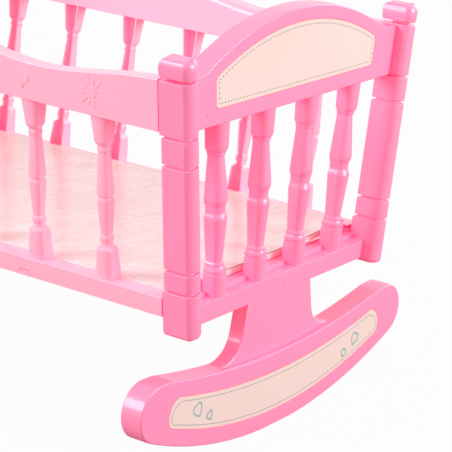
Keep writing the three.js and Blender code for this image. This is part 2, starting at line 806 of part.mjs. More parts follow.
// The plate in the rocker follows the beam between two arcs, with rounded ends.
function rockerPlateOutline(inset) {
  const lowAt = (across) => rockerPlate.lowHeight + inset
    + rockerPlate.lowRadius - Math.sqrt(rockerPlate.lowRadius ** 2 - across ** 2);
  const topAt = (across) => rockerPlate.topHeight - inset
    + rockerPlate.topRadius - Math.sqrt(rockerPlate.topRadius ** 2 - across ** 2);
  const lowCorner = new THREE.Vector2(rockerPlate.lowCorner - inset, 0);
  lowCorner.y = lowAt(lowCorner.x);
  const topCorner = new THREE.Vector2(rockerPlate.topCorner - inset, 0);
  topCorner.y = topAt(topCorner.x);
  const middle = lowCorner.clone().add(topCorner).multiplyScalar(0.5);
  const upward = topCorner.clone().sub(middle);
  const outward = new THREE.Vector2(rockerPlate.halfLength - inset - middle.x, 0);
  const end = [];
  for (let step = 0; step <= plateEndSteps; step += 1) {
    const angle = Math.PI * (step / plateEndSteps - 1 / 2);
    const point = middle.clone().addScaledVector(upward, Math.sin(angle));
    end.push(point.addScaledVector(outward, Math.cos(angle)));
  }
  const low = [];
  const top = [];
  for (let step = 1; step < plateSteps; step += 1) {
    const share = 2 * step / plateSteps - 1;
    low.push(new THREE.Vector2(lowCorner.x * share, lowAt(lowCorner.x * share)));
    top.push(new THREE.Vector2(-topCorner.x * share, topAt(topCorner.x * share)));
  }
  const leftEnd = end.map((point) => new THREE.Vector2(-point.x, point.y)).reverse();
  return [...low, ...end, ...top, ...leftEnd];
}

function rockerShape() {
  const beam = slabAlongX(beamOutline(), -rocker.back, -rocker.front);
  const stand = slabAlongX(pedestalOutline(), -pedestal.back, -pedestal.front);
  const plug = block(
    new THREE.Vector3(-pedestal.back, -pedestal.headHalf + pedestal.tongueInset, -embed),
    new THREE.Vector3(
      -pedestal.tongueFront,
      pedestal.headHalf - pedestal.tongueInset,
      endRail.bottom + pedestal.tongueHeight,
    ),
  );
  const recess = plateRecess(rockerPlateOutline(0), rocker.front);
  return moulding([beam, stand, plug], [recess]);
}

function plateRecess(outline, front) {
  return slabAlongX(outline, -front - plate.recess, -front + cutOverrun);
}

function plateSlab(outline, front) {
  const back = -front - plate.recess + seatGap;
  return slabAlongX(outline, back, back + plate.thickness);
}

// The assembly. The end pieces are made at the +X end and turned half round for the other end.
const cradle = new THREE.Group();
const crib = new THREE.Group();
crib.position.z = standHeight;
cradle.add(crib);

function place(geometry, material, name, parent, x) {
  const mesh = new THREE.Mesh(geometry, material.clone());
  mesh.name = name;
  mesh.position.x = x;
  parent.add(mesh);
}

for (const [label, turn] of [['right', 0], ['left', Math.PI]]) {
  const end = new THREE.Group();
  end.rotation.z = turn;
  crib.add(end);
  const upperPlate = plateSlab(headerPlateOutline(seatGap), header.front);
  const lowerPlate = plateSlab(rockerPlateOutline(seatGap), rocker.front);
  place(endPanel(), pink, `end_panel_${label}`, end, cribLength / 2);
  place(rockerShape(), pink, `rocker_${label}`, end, cribLength / 2);
  place(upperPlate, peach, `header_plate_${label}`, end, cribLength / 2);
  place(lowerPlate, peach, `rocker_plate_${label}`, end, cribLength / 2);
  place(crossBarShape(), lightPink, `cross_bar_${label}`, end, crossBar.spacing / 2);
}

for (const [label, turn] of [['front', -Math.PI / 2], ['back', Math.PI / 2]]) {
  const flank = new THREE.Group();
  flank.rotation.z = turn;
  crib.add(flank);
  place(sidePanel(), lightPink, `side_panel_${label}`, flank, 0);
}

place(floorBoard(), offWhite, 'floor_board', crib, 0);

export default cradle;
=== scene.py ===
"""A doll's rocking cradle in glossy pink plastic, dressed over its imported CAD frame.

Sizes are in millimetres in the end frame: X points out of the crib's end from the front edge of
the posts, Y runs across the crib, and Z is measured up from the posts' feet. A side panel is
drawn alike, with X out of the crib's side and Y along the crib. Meshes are put into the model's
own frame, in metres, when they are made.
"""
import logging
import math
from collections.abc import Callable
from dataclasses import dataclass, field
from enum import Enum
from typing import Any

import bmesh
import bpy
import numpy as np
from mathutils import Matrix, Vector
from mathutils.geometry import tessellate_polygon


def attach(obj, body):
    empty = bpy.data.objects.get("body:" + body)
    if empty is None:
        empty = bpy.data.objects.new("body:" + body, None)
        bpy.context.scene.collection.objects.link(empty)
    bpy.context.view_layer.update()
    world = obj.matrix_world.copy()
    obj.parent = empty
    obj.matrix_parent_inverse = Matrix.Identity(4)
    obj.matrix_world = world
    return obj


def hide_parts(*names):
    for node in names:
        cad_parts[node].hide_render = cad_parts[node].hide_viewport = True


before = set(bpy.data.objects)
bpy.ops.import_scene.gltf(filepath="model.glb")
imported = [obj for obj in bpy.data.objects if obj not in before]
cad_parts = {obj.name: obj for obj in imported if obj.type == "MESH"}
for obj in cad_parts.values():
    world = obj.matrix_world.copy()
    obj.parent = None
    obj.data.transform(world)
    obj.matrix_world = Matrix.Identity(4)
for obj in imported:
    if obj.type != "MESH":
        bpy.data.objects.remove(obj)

log = logging.getLogger("cradle")

MM = 0.001
WELD_DISTANCE = 2e-6
SHARP_ANGLE = math.radians(38.0)
FACE_WEIGHT = 90
TINY = 1e-9
# The share of an edge that one rounding may take, and the least cosine that inset divides by.
MOST_OF_EDGE = 0.45
LEAST_COSINE = 0.5

CRIB_HALF_LENGTH = 243.3
STAND_HEIGHT = 106.0
LEAN = 0.12
POST_HALF_SPREAD = 127.0
POST_WIDTH = 17.0
SIDE_FACE_OUT = 6.5
SIDE_THICKNESS = 17.1
EMBED = 1.5
RECESS_DEPTH = 1.9
RECESS_ROUND = 0.35
ALONG_LEAN = 1.0 / math.cos(math.atan(LEAN))

Array = np.ndarray
Number = float | Array
Vector3 = tuple[float, float, float]
MIRROR = np.array([-1.0, 1.0])


class Place(Enum):
    """Where a mesh's own frame stands: its turn about Z, and then its distance along X."""

    RIGHT = (0.0, CRIB_HALF_LENGTH)
    LEFT = (math.pi, CRIB_HALF_LENGTH)
    FRONT = (-math.pi / 2, 0.0)
    BACK = (math.pi / 2, 0.0)
    MIDDLE = (0.0, 0.0)

    @property
    def label(self) -> str:
        """Returns the place as the pieces' names have it."""
        return self.name.lower()


def side_face(height: Number) -> Number:
    """Returns half of the distance between the side panels' outer faces at a level."""
    return POST_HALF_SPREAD + height * LEAN + SIDE_FACE_OUT * ALONG_LEAN


def post_wall(height: Number) -> Number:
    """Returns half of the distance between the posts' inner walls at a level."""
    return (2 * POST_HALF_SPREAD - POST_WIDTH * ALONG_LEAN) / 2 + height * LEAN


def unit(vectors: Array) -> Array:
    """Returns vectors divided by their lengths."""
    return vectors / (np.linalg.norm(vectors, axis=-1, keepdims=True) + TINY)


def turned(points: Array, angle: float) -> Array:
    """Turns plane points about their origin: (x cos a - y sin a, x sin a + y cos a)."""
    cosine, sine = math.cos(angle), math.sin(angle)
    return points @ np.array([[cosine, sine], [-sine, cosine]])


def circle(radius: float, angle: Array, centre: Number = 0.0) -> Array:
    """Returns the points centre + R (cos a, sin a)."""
    return centre + radius * np.stack([np.cos(angle), np.sin(angle)], axis=-1)


def disc(radius: float, count: int, centre: Number = 0.0) -> Array:
    """Returns points spaced evenly round a circle."""
    return circle(radius, np.linspace(0.0, 2 * math.pi, count, endpoint=False), centre)


def high_arc(angle: Array, high: float, radius: float) -> Array:
    """Returns points of an arc that is highest at its middle: (R sin a, high - R (1 - cos a))."""
    return np.stack([radius * np.sin(angle), high - radius * (1 - np.cos(angle))], axis=-1)


def low_arc(across: Number, low: float, radius: float) -> Array:
    """Returns points of an arc that is lowest at its middle: (y, low + R - sqrt(R^2 - y^2))."""
    return np.stack([across, low + radius - np.sqrt(radius ** 2 - np.square(across))], axis=-1)


def parabola(start: Array, control: Array, stop: Array, steps: int) -> Array:
    """Returns the points (1-t)^2 start + 2 t (1-t) control + t^2 stop at even steps of t."""
    t = np.linspace(0.0, 1.0, steps)[:, None]
    return (1 - t) ** 2 * start + 2 * t * (1 - t) * control + t ** 2 * stop


def rectangle(left: Number, low: Number, right: Number, high: Number) -> Array:
    """Returns the corners of one or more rectangles, counter-clockwise, as (..., 4, 2)."""
    corners = np.stack(np.broadcast_arrays(left, low, right, low, right, high, left, high), axis=-1)
    return corners.reshape(*corners.shape[:-1], 4, 2)


def edge_rounding(radius: float, steps: int) -> tuple[Array, Array]:
    """Returns a quarter round as (depth behind the face, inset from the side), face first."""
    angle = np.linspace(0.0, math.pi / 2, steps + 1)
    return radius * (1 - np.cos(angle)), radius * (1 - np.sin(angle))


def soften(outline: Array, radius: float, steps: int = 3, closed: bool = True) -> Array:
    """Rounds every corner of one outline, or of a stack of outlines.

    Each corner is replaced by the parabola that leaves the edge before it and joins the edge
    after it at a distance of the radius times the tangent of half of the turn, with the corner
    as its control point. The distance is cut to a share of the shorter edge.

    Args:
        outline: points as (..., n, 2).
        radius: the radius of the rounding.
        steps: points for each corner.
        closed: whether the last point joins the first. The ends of an open line stay.

    Returns:
        The points as (..., n * steps, 2).
    """
    before = np.roll(outline, 1, axis=-2) - outline
    after = np.roll(outline, -1, axis=-2) - outline
    cosine = -(unit(before) * unit(after)).sum(-1, keepdims=True)
    reach = radius * np.tan(np.arccos(np.clip(cosine, -1.0, 1.0)) / 2)
    for edge in (before, after):
        reach = np.minimum(reach, MOST_OF_EDGE * np.linalg.norm(edge, axis=-1, keepdims=True))
    if not closed:
        reach[..., [0, -1], :] = 0.0
    start, stop = outline + reach * unit(before), outline + reach * unit(after)
    curve = parabola(start[..., None, :], outline[..., None, :], stop[..., None, :], steps)
    return curve.reshape(*outline.shape[:-2], -1, 2)


def inset(outline: Array, distance: float) -> Array:
    """Moves a closed counter-clockwise outline inward.

    Each point goes along the mean of its two edges' inward normals, by the distance over the
    cosine of half of the turn, so every edge moves by the same distance.

    Args:
        outline: points as (n, 2).
        distance: how far the edges move.

    Returns:
        The moved points as (n, 2).
    """
    before = unit(outline - np.roll(outline, 1, axis=0))
    after = unit(np.roll(outline, -1, axis=0) - outline)
    normal = unit(turned(before + after, math.pi / 2))
    half_turn = np.clip((normal * turned(after, math.pi / 2)).sum(1), LEAST_COSINE, 1.0)
    return outline + normal * (distance / half_turn)[:, None]


def resample(outline: Array, count: int) -> Array:
    """Spaces a number of points along a closed outline, at equal steps of arc length.

    Args:
        outline: points as (n, 2).
        count: how many points the result has.

    Returns:
        The points as (count, 2).
    """
    closed = np.vstack([outline, outline[:1]])
    length = np.concatenate([[0.0], np.cumsum(np.linalg.norm(np.diff(closed, axis=0), axis=1))])
    at = np.linspace(0.0, length[-1], count, endpoint=False)
    return np.stack([np.interp(at, length, closed[:, 0]), np.interp(at, length, closed[:, 1])], 1)


def bulged_section(
    half: Array, depth: Array, bulge: Array, steps: int, limit: float = math.pi / 2
) -> Array:
    """Draws sections with a flat back and flat sides whose front bulges.

    The front is the part of a circle within an angle of its middle, scaled so that its ends
    lie on the sides and its middle stands out by the bulge. A right angle makes half an ellipse.

    Args:
        half: half widths of the levels, as (levels,).
        depth: distances of the back behind the front's ends.
        bulge: how far the middle of the front stands out.
        steps: edges in the front.
        limit: the angle between the front's middle and its ends, in radians.

    Returns:
        Points as (levels, steps + 3, 2), X out of the front and Y across.
    """
    angle = limit * np.linspace(-1.0, 1.0, steps + 1)
    rise = (np.cos(angle) - math.cos(limit)) / (1 - math.cos(limit))
    half, depth, bulge = (part[:, None] for part in (half, depth, bulge))
    front = np.stack([bulge * rise, half * np.sin(angle) / math.sin(limit)], axis=-1)
    low, high = np.stack([-depth, -half], axis=-1), np.stack([-depth, half], axis=-1)
    return np.concatenate([low, front, high], axis=1)


def heart_outline(width: float, height: float, round_share: float = 0.0) -> Array:
    """Draws a heart round its middle: (16 sin^3 t, 13 cos t - 5 cos 2t - 2 cos 3t - cos 4t).

    Args:
        width: its greatest width.
        height: its height.
        round_share: how much of a circle is mixed into it, which blunts its tip.

    Returns:
        Points as (40, 2).
    """
    count = 40
    t = np.linspace(0.0, -2 * math.pi, count, endpoint=False) + math.pi / count
    rise = 13 * np.cos(t) - 5 * np.cos(2 * t) - 2 * np.cos(3 * t) - np.cos(4 * t)
    line = np.stack([16 * np.sin(t) ** 3, rise], axis=1)
    ring = 15 * np.stack([np.sin(t), np.cos(t) - 0.1], axis=1)
    line = (1 - round_share) * line + round_share * ring
    low, high = line.min(axis=0), line.max(axis=0)
    return (line - (low + high) / 2) / (high - low) * np.array([width, height])


def carry(section: Array, place: Number, axis: int) -> Array:
    """Gives plane points their third coordinate.

    Args:
        section: the points' other two coordinates, as (..., n, 2).
        place: the third coordinate, as one number or an array that fits (..., n).
        axis: which coordinate that is, from 0 for X to 2 for Z.

    Returns:
        The points as (..., n, 3).
    """
    first, second, third = np.broadcast_arrays(section[..., 0], section[..., 1], place)
    columns = [first, second]
    columns.insert(axis, third)
    return np.stack(columns, axis=-1)


def lean(points: Array, axis: int, share: float = 1.0) -> Array:
    """Tilts upright points outward by the angle a and moves them over their foot.

    The outward coordinate u becomes u cos a + z sin a + share * spread, and z becomes
    z cos a - u sin a, where tan a is the share of the posts' lean.

    Args:
        points: points as (..., 3).
        axis: the outward coordinate, 0 in a side panel and 1 in an end panel.
        share: the place between the posts, from -1 to 1.

    Returns:
        The moved points.
    """
    angle = math.atan(share * LEAN)
    cosine, sine = math.cos(angle), math.sin(angle)
    out, height = points[..., axis], points[..., 2]
    moved = points.copy()
    moved[..., axis] = out * cosine + height * sine + share * POST_HALF_SPREAD
    moved[..., 2] = height * cosine - out * sine
    return moved


@dataclass(frozen=True)
class Look:
    """A finished material and the record's slot that it belongs to."""

    material: bpy.types.Material
    slot: str


@dataclass
class Draft:
    """A mesh in the making: grids and flat faces that are joined into one piece."""

    name: str
    points: list[Array] = field(default_factory=list)
    faces: list[list[int]] = field(default_factory=list)

    def _take(self, points: Array) -> Array:
        """Adds points to the mesh.

        Args:
            points: points as (..., 3).

        Returns:
            Their numbers in the mesh, in the same layout.
        """
        first = sum(map(len, self.points))
        self.points.append(points.reshape(-1, 3))
        return first + np.arange(points.size // 3).reshape(points.shape[:-1])

    def tube(self, rings: Array, caps: bool = True) -> None:
        """Adds a skin over rings of equal counts, closed around, with a flat cap on each end.

        Args:
            rings: points as (levels, n, 3).
            caps: whether the two ends are closed.
        """
        number = self._take(rings)
        beside = np.roll(number, -1, axis=1)
        quads = np.stack([number[:-1], beside[:-1], beside[1:], number[1:]], axis=-1)
        self.faces.extend(quads.reshape(-1, 4).tolist())
        if caps:
            self.faces.extend([number[0, ::-1].tolist(), number[-1].tolist()])

    def bar(self, section: Array, low: float, high: float) -> None:
        """Adds a straight bar along Y whose section is in X and Z."""
        self.tube(carry(section, np.array([[low], [high]]), 1))

    def sheet(self, grid: Array, keep: Array | None = None) -> None:
        """Adds an open grid of quads.

        Args:
            grid: points as (rows, columns, 3).
            keep: which quads are made, as (rows - 1, columns - 1), or all of them.
        """
        number = self._take(grid)
        quads = np.stack([number[:-1, :-1], number[:-1, 1:], number[1:, 1:], number[1:, :-1]], -1)
        chosen = quads if keep is None else quads[keep]
        self.faces.extend(chosen.reshape(-1, 4).tolist())

    def face(self, ring: Array) -> None:
        """Adds one flat face round a ring of points, as (n, 3)."""
        self.faces.append(self._take(ring).tolist())

    def plane_with_hole(self, outer: Array, hole: Array) -> None:
        """Adds a flat face between an outline and a hole, cut into triangles.

        Args:
            outer: the outline's points, as (n, 3).
            hole: the hole's points, as (m, 3).
        """
        number = self._take(np.vstack([outer, hole]))
        loops = [[Vector(point) for point in loop.tolist()] for loop in (outer, hole)]
        self.faces.extend(number[np.array(tessellate_polygon(loops))].tolist())

    def slab(
        self, outline: Array, back: float, front: float, radius: float,
        steps: int = 4, hole: Array | None = None,
    ) -> None:
        """Adds a slab across X with rounded edges, and a recess in its front if a hole is given.

        Its rings are the outline moved inward by r (1 - sin a) at the depth r (1 - cos a), from
        the front face round to the back face.

        Args:
            outline: the silhouette in Y and Z, counter-clockwise, as (n, 2).
            back: X of the back face.
            front: X of the front face.
            radius: the radius of the edges.
            steps: edges in each quarter round.
            hole: the outline of the recess, or nothing.
        """
        edge = list(zip(*edge_rounding(radius, steps)))
        rings = [carry(inset(outline, narrow), front - depth, 0) for depth, narrow in edge]
        rings += [carry(inset(outline, narrow), back + depth, 0) for depth, narrow in edge[::-1]]
        self.tube(np.stack(rings), caps=False)
        self.face(rings[-1][::-1])
        if hole is None:
            self.face(rings[0])
            return
        edge = zip(*edge_rounding(RECESS_ROUND, steps=2))
        lip = [carry(inset(hole, -narrow), front - depth, 0) for depth, narrow in edge]
        lip.append(carry(hole, front - RECESS_DEPTH, 0))
        self.plane_with_hole(rings[0], lip[0])
        self.tube(np.stack(lip), caps=False)
        self.face(lip[-1])

    def dotted_line(
        self, outline: Array, front: float, width: float, period: float,
        drawn_share: float = 1.0,
    ) -> None:
        """Adds a flat printed line of dashes along a closed outline.

        The outline is spaced evenly, eight steps to a period, and a quad is kept where its
        number, taken modulo eight, is under the drawn share of eight.

        Args:
            outline: the line's outer edge in Y and Z, as (n, 2).
            front: the place of the print along X.
            width: the width of the line.
            period: the length of one dash and its gap.
            drawn_share: how much of the period is drawn. One gives a whole line.
        """
        steps = 8
        length = np.linalg.norm(outline - np.roll(outline, 1, axis=0), axis=1).sum()
        count = int(length / period) * steps
        outer = resample(outline, count)
        grid = np.stack([carry(line, front, 0) for line in (outer, inset(outer, width))])
        keep = (np.arange(count) % steps) < round(steps * drawn_share)
        self.sheet(np.concatenate([grid, grid[:, :1]], axis=1), keep[None, :])

    def finish(self, place: Place, look: Look, node: str = "", closed: bool = True) -> None:
        """Makes the object, in metres, in the model's frame, riding on the root body.

        Args:
            place: where the mesh's own frame stands.
            look: the finish of the whole piece.
            node: the CAD node that the piece replaces, if it does.
            closed: whether the piece has an inside, so its faces are turned outward.
        """
        turn, out = place.value
        points = np.vstack(self.points) + np.array([out, 0.0, STAND_HEIGHT])
        points[:, :2] = turned(points[:, :2], turn)
        mesh = bpy.data.meshes.new(self.name)
        mesh.from_pydata((points * MM).tolist(), [], self.faces)
        work = bmesh.new()
        work.from_mesh(mesh)
        bmesh.ops.remove_doubles(work, verts=work.verts, dist=WELD_DISTANCE)
        if closed:
            bmesh.ops.recalc_face_normals(work, faces=work.faces)
        work.to_mesh(mesh)
        work.free()
        mesh.shade_smooth()
        mesh.set_sharp_from_angle(angle=SHARP_ANGLE)
        mesh.materials.append(look.material)
        piece = bpy.data.objects.new(self.name, mesh)
        bpy.context.scene.collection.objects.link(piece)
        weighted = piece.modifiers.new("even_shading", "WEIGHTED_NORMAL")
        weighted.keep_sharp = True
        weighted.weight = FACE_WEIGHT
        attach(piece, "root")
        if node:
            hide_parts(node)
        log.info("%s: %d faces", self.name, len(mesh.polygons))


class Wiring:
    """A node tree with short ways to add nodes, fill their inputs and join them."""

    MIX_FACTOR, MIX_FIRST, MIX_SECOND, MIX_RESULT = 0, 6, 7, 2

    def __init__(self, tree: bpy.types.NodeTree) -> None:
        """Keeps the tree's nodes and links."""
        self.nodes, self.links = tree.nodes, tree.links

    def fill(self, node: bpy.types.Node, values: dict[str | int, Any]) -> None:
        """Sets a node's inputs by their names or numbers."""
        for key, value in values.items():
            node.inputs[key].default_value = value

    def add(
        self, kind: str, values: dict[str | int, Any] | None = None, **settings: Any
    ) -> bpy.types.Node:
        """Adds a node.

        Args:
            kind: its type, without the words that all shader nodes have.
            values: values for its inputs, by their names or numbers.
            settings: the node's own settings, which are made before the inputs are filled.

        Returns:
            The new node.
        """
        node = self.nodes.new(f"ShaderNode{kind}")
        for name, value in settings.items():
            setattr(node, name, value)
        self.fill(node, values or {})
        return node

    def join(
        self, source: bpy.types.Node, output: str | int, sink: bpy.types.Node, entry: str | int
    ) -> None:
        """Links a node's output to another node's input."""
        self.links.new(source.outputs[output], sink.inputs[entry])


def new_material(name: str) -> tuple[bpy.types.Material, Wiring, bpy.types.Node]:
    """Starts a node material.

    Args:
        name: its name.

    Returns:
        The material, its wiring and its Principled shader.
    """
    material = bpy.data.materials.new(name)
    material.use_nodes = True
    wires = Wiring(material.node_tree)
    return material, wires, wires.nodes["Principled BSDF"]


def moulded_skin_group() -> bpy.types.NodeTree:
    """Builds the skin of moulded plastic: faint flow clouds in the colour and a soft ripple.

    Returns:
        A group that puts out a colour, a roughness and a height for a Bump node.
    """
    group = bpy.data.node_groups.new("moulded_skin", "ShaderNodeTree")
    for label, kind, value in (
        ("Colour", "Color", (1.0, 0.4, 0.6, 1.0)), ("Flow Colour", "Color", (1.0, 0.45, 0.65, 1.0)),
        ("Flow Scale", "Float", 14.0), ("Ripple Scale", "Float", 70.0),
        ("Gloss Low", "Float", 0.22), ("Gloss High", "Float", 0.34),
    ):
        made = group.interface.new_socket(label, in_out="INPUT", socket_type=f"NodeSocket{kind}")
        made.default_value = value
    for label, kind in (("Colour", "Color"), ("Roughness", "Float"), ("Height", "Float")):
        group.interface.new_socket(label, in_out="OUTPUT", socket_type=f"NodeSocket{kind}")
    wires = Wiring(group)
    source, sink = group.nodes.new("NodeGroupInput"), group.nodes.new("NodeGroupOutput")
    place = wires.add("TexCoord")
    flow = wires.add("TexNoise", {"Detail": 1.0})
    ripple = wires.add("TexNoise", {"Detail": 0.0})
    for noise, label in ((flow, "Flow Scale"), (ripple, "Ripple Scale")):
        wires.join(place, "Object", noise, "Vector")
        wires.join(source, label, noise, "Scale")
    mix = wires.add("Mix", data_type="RGBA")
    wires.join(flow, "Fac", mix, Wiring.MIX_FACTOR)
    wires.join(source, "Colour", mix, Wiring.MIX_FIRST)
    wires.join(source, "Flow Colour", mix, Wiring.MIX_SECOND)
    gloss = wires.add("MapRange", {"From Min": 0.1, "From Max": 0.9})
    wires.join(flow, "Fac", gloss, "Value")
    wires.join(source, "Gloss Low", gloss, "To Min")
    wires.join(source, "Gloss High", gloss, "To Max")
    wires.join(mix, Wiring.MIX_RESULT, sink, "Colour")
    wires.join(gloss, "Result", sink, "Roughness")
    wires.join(ripple, "Fac", sink, "Height")
    return group


def srgb(text: str) -> tuple[float, ...]:
    """Turns a colour written as six hex digits into linear values with an alpha of one.

    Args:
        text: the digits of red, green and blue.

    Returns:
        The four values.
    """
    value = np.array([int(text[i:i + 2], 16) for i in (0, 2, 4)]) / 255
    linear = np.where(value <= 0.04045, value / 12.92, ((value + 0.055) / 1.055) ** 2.4)
    return (*linear.tolist(), 1.0)


@dataclass(frozen=True)
class MouldedFinish:
    """A moulded or printed surface. Its glow is painted light: an emission that stands for red
    light carried through thin walls and keeps the shaded parts red.
    """

    name: str
    slot: str
    colour: str
    flow_colour: str
    gloss_low: float = 0.28
    gloss_high: float = 0.36
    coat: float = 0.0
    coat_roughness: float = 0.1
    # Painted light: the strength of a red emission that keeps the shaded parts red.
    glow: float = 0.0
    painted_glow_colour: tuple[float, ...] = (1.0, 0.01, 0.12, 1.0)
    ripple: float = 0.02
    ripple_height: float = 0.0004
    flow_scale: float = 14.0
    ripple_scale: float = 70.0

    def build(self, skin: bpy.types.NodeTree) -> Look:
        """Makes the material.

        Args:
            skin: the moulded skin group.

        Returns:
            A node material with the finish's own colours, gloss and ripple, and its slot.
        """
        material, wires, shader = new_material(self.name)
        surface = wires.add("Group", {
            "Colour": srgb(self.colour), "Flow Colour": srgb(self.flow_colour),
            "Flow Scale": self.flow_scale, "Ripple Scale": self.ripple_scale,
            "Gloss Low": self.gloss_low, "Gloss High": self.gloss_high,
        }, node_tree=skin)
        bump = wires.add("Bump", {"Strength": self.ripple, "Distance": self.ripple_height})
        wires.join(surface, "Height", bump, "Height")
        wires.join(surface, "Colour", shader, "Base Color")
        wires.join(surface, "Roughness", shader, "Roughness")
        wires.join(bump, "Normal", shader, "Normal")
        # The emission is painted light, a red glow that stands for light carried through thin
        # walls.
        wires.fill(shader, {
            "Coat Weight": self.coat, "Coat Roughness": self.coat_roughness,
            "Emission Color": self.painted_glow_colour, "Emission Strength": self.glow,
        })
        return Look(material, self.slot)


@dataclass(frozen=True)
class BoardFinish:
    """The glossy off-white board with the fine creases of its foil, and a painted shade along the
    creases.
    """

    name: str = "creased_white_foil"
    slot: str = "white_board"
    colour: str = "FAECE8"
    # Painted shade: the darker colour laid along the creases.
    crease_shade_colour: str = "EFCFCE"
    crease_scale: float = 95.0
    crease_angle: float = math.radians(74.0)
    crease_stretch: float = 4.5
    crease_depth: float = 0.00025
    roughness: float = 0.2
    coat: float = 0.2

    def build(self) -> Look:
        """Makes the material: a stretched ridged noise gives branching creases, their bump and a
        painted shade along them.

        Returns:
            The node material and its slot.
        """
        material, wires, shader = new_material(self.name)
        place = wires.add("TexCoord")
        turn = wires.add("Mapping", {
            "Rotation": (0.0, 0.0, self.crease_angle), "Scale": (self.crease_stretch, 1.0, 1.0),
        }, vector_type="TEXTURE")
        crease = wires.add("TexNoise", {
            "Scale": self.crease_scale, "Detail": 4.0, "Offset": 1.0, "Gain": 2.0,
            "Distortion": 1.4,
        }, noise_type="RIDGED_MULTIFRACTAL")
        ramp = wires.add("MapRange", {"From Min": 1.0, "From Max": 2.4})
        mix = wires.add("Mix", data_type="RGBA")
        # The creases are tinted with painted shade.
        wires.fill(mix, {
            Wiring.MIX_FIRST: srgb(self.colour), Wiring.MIX_SECOND: srgb(self.crease_shade_colour),
        })
        bump = wires.add("Bump", {"Strength": 0.6, "Distance": self.crease_depth})
        wires.join(place, "Object", turn, "Vector")
        wires.join(turn, "Vector", crease, "Vector")
        wires.join(crease, "Fac", ramp, "Value")
        wires.join(ramp, "Result", mix, Wiring.MIX_FACTOR)
        wires.join(mix, Wiring.MIX_RESULT, shader, "Base Color")
        wires.join(crease, "Fac", bump, "Height")
        wires.join(bump, "Normal", shader, "Normal")
        wires.fill(shader, {"Roughness": self.roughness, "Coat Weight": self.coat})
        return Look(material, self.slot)


@dataclass
class Finishes:
    """Every look of the cradle, built once."""

    pink: Look
    light_pink: Look
    plate: Look
    border_ink: Look
    heart_ink: Look
    board: Look
    board_edge_shadow: Look

    @classmethod
    def make(cls) -> "Finishes":
        """Builds the shared skin group and each finish from it.

        Returns:
            The looks.
        """
        skin = moulded_skin_group()
        moulded = (
            # Both pinks carry a painted red glow that keeps their shade red.
            MouldedFinish("moulded_pink", "pink_plastic", "FF99BF", "FF9DC2", coat=0.35, glow=0.3),
            MouldedFinish(
                "moulded_light_pink", "pink_plastic", "FFC0D5", "FFC4D8", coat=0.35, glow=0.3
            ),
            MouldedFinish(
                "satin_peach", "peach_plate", "FFDFD5", "FFE3DA", gloss_low=0.34, gloss_high=0.44
            ),
            MouldedFinish(
                "grey_ink", "peach_plate", "7E8886", "8A9290", gloss_low=0.4, gloss_high=0.5
            ),
            MouldedFinish(
                "teal_ink", "peach_plate", "98BCBE", "A2C4C4", gloss_low=0.4, gloss_high=0.5
            ),
        )
        # A painted shadow: this brown finish stands for the shaded gap under the board's ends.
        edge = MouldedFinish(
            "board_edge_painted_shadow", "white_board", "94685C", "A07466", gloss_low=0.6, gloss_high=0.7
        )
        return cls(*(look.build(skin) for look in moulded), BoardFinish().build(), edge.build(skin))


@dataclass(frozen=True)
class PrintedPlate:
    """A pale plate let into a recess, with a printed line along its edge."""

    carrier: str
    recess_front: float
    line_inset: float
    line_width: float
    line_period: float
    drawn_share: float = 1.0
    gap: float = 0.3
    sunk: float = 0.1
    thickness: float = 1.5
    edge_round: float = 0.3
    ink_rise: float = 0.06

    @property
    def ink_front(self) -> float:
        """Returns the place of the print along X."""
        return self.recess_front - self.sunk + self.ink_rise

    def add_plate(self, outline: Callable[[float], Array], place: Place, looks: Finishes) -> None:
        """Makes the bare plate.

        Args:
            outline: gives the recess's silhouette, shrunk by a distance.
            place: the end that it belongs to.
            looks: the finishes.
        """
        front = self.recess_front - self.sunk
        plate = Draft(f"{self.carrier}_plate_fine_{place.label}")
        plate.slab(outline(self.gap), front - self.thickness, front, self.edge_round, steps=2)
        plate.finish(place, looks.plate, f"{self.carrier}_plate_{place.label}")

    def add_line(self, outline: Callable[[float], Array], place: Place, looks: Finishes) -> None:
        """Makes the printed line.

        Args:
            outline: gives the recess's silhouette, shrunk by a distance.
            place: the end that it belongs to.
            looks: the finishes.
        """
        line = Draft(f"{self.carrier}_border_{place.label}")
        line.dotted_line(
            outline(self.line_inset), self.ink_front, self.line_width, self.line_period,
            self.drawn_share,
        )
        line.finish(place, looks.border_ink, closed=False)


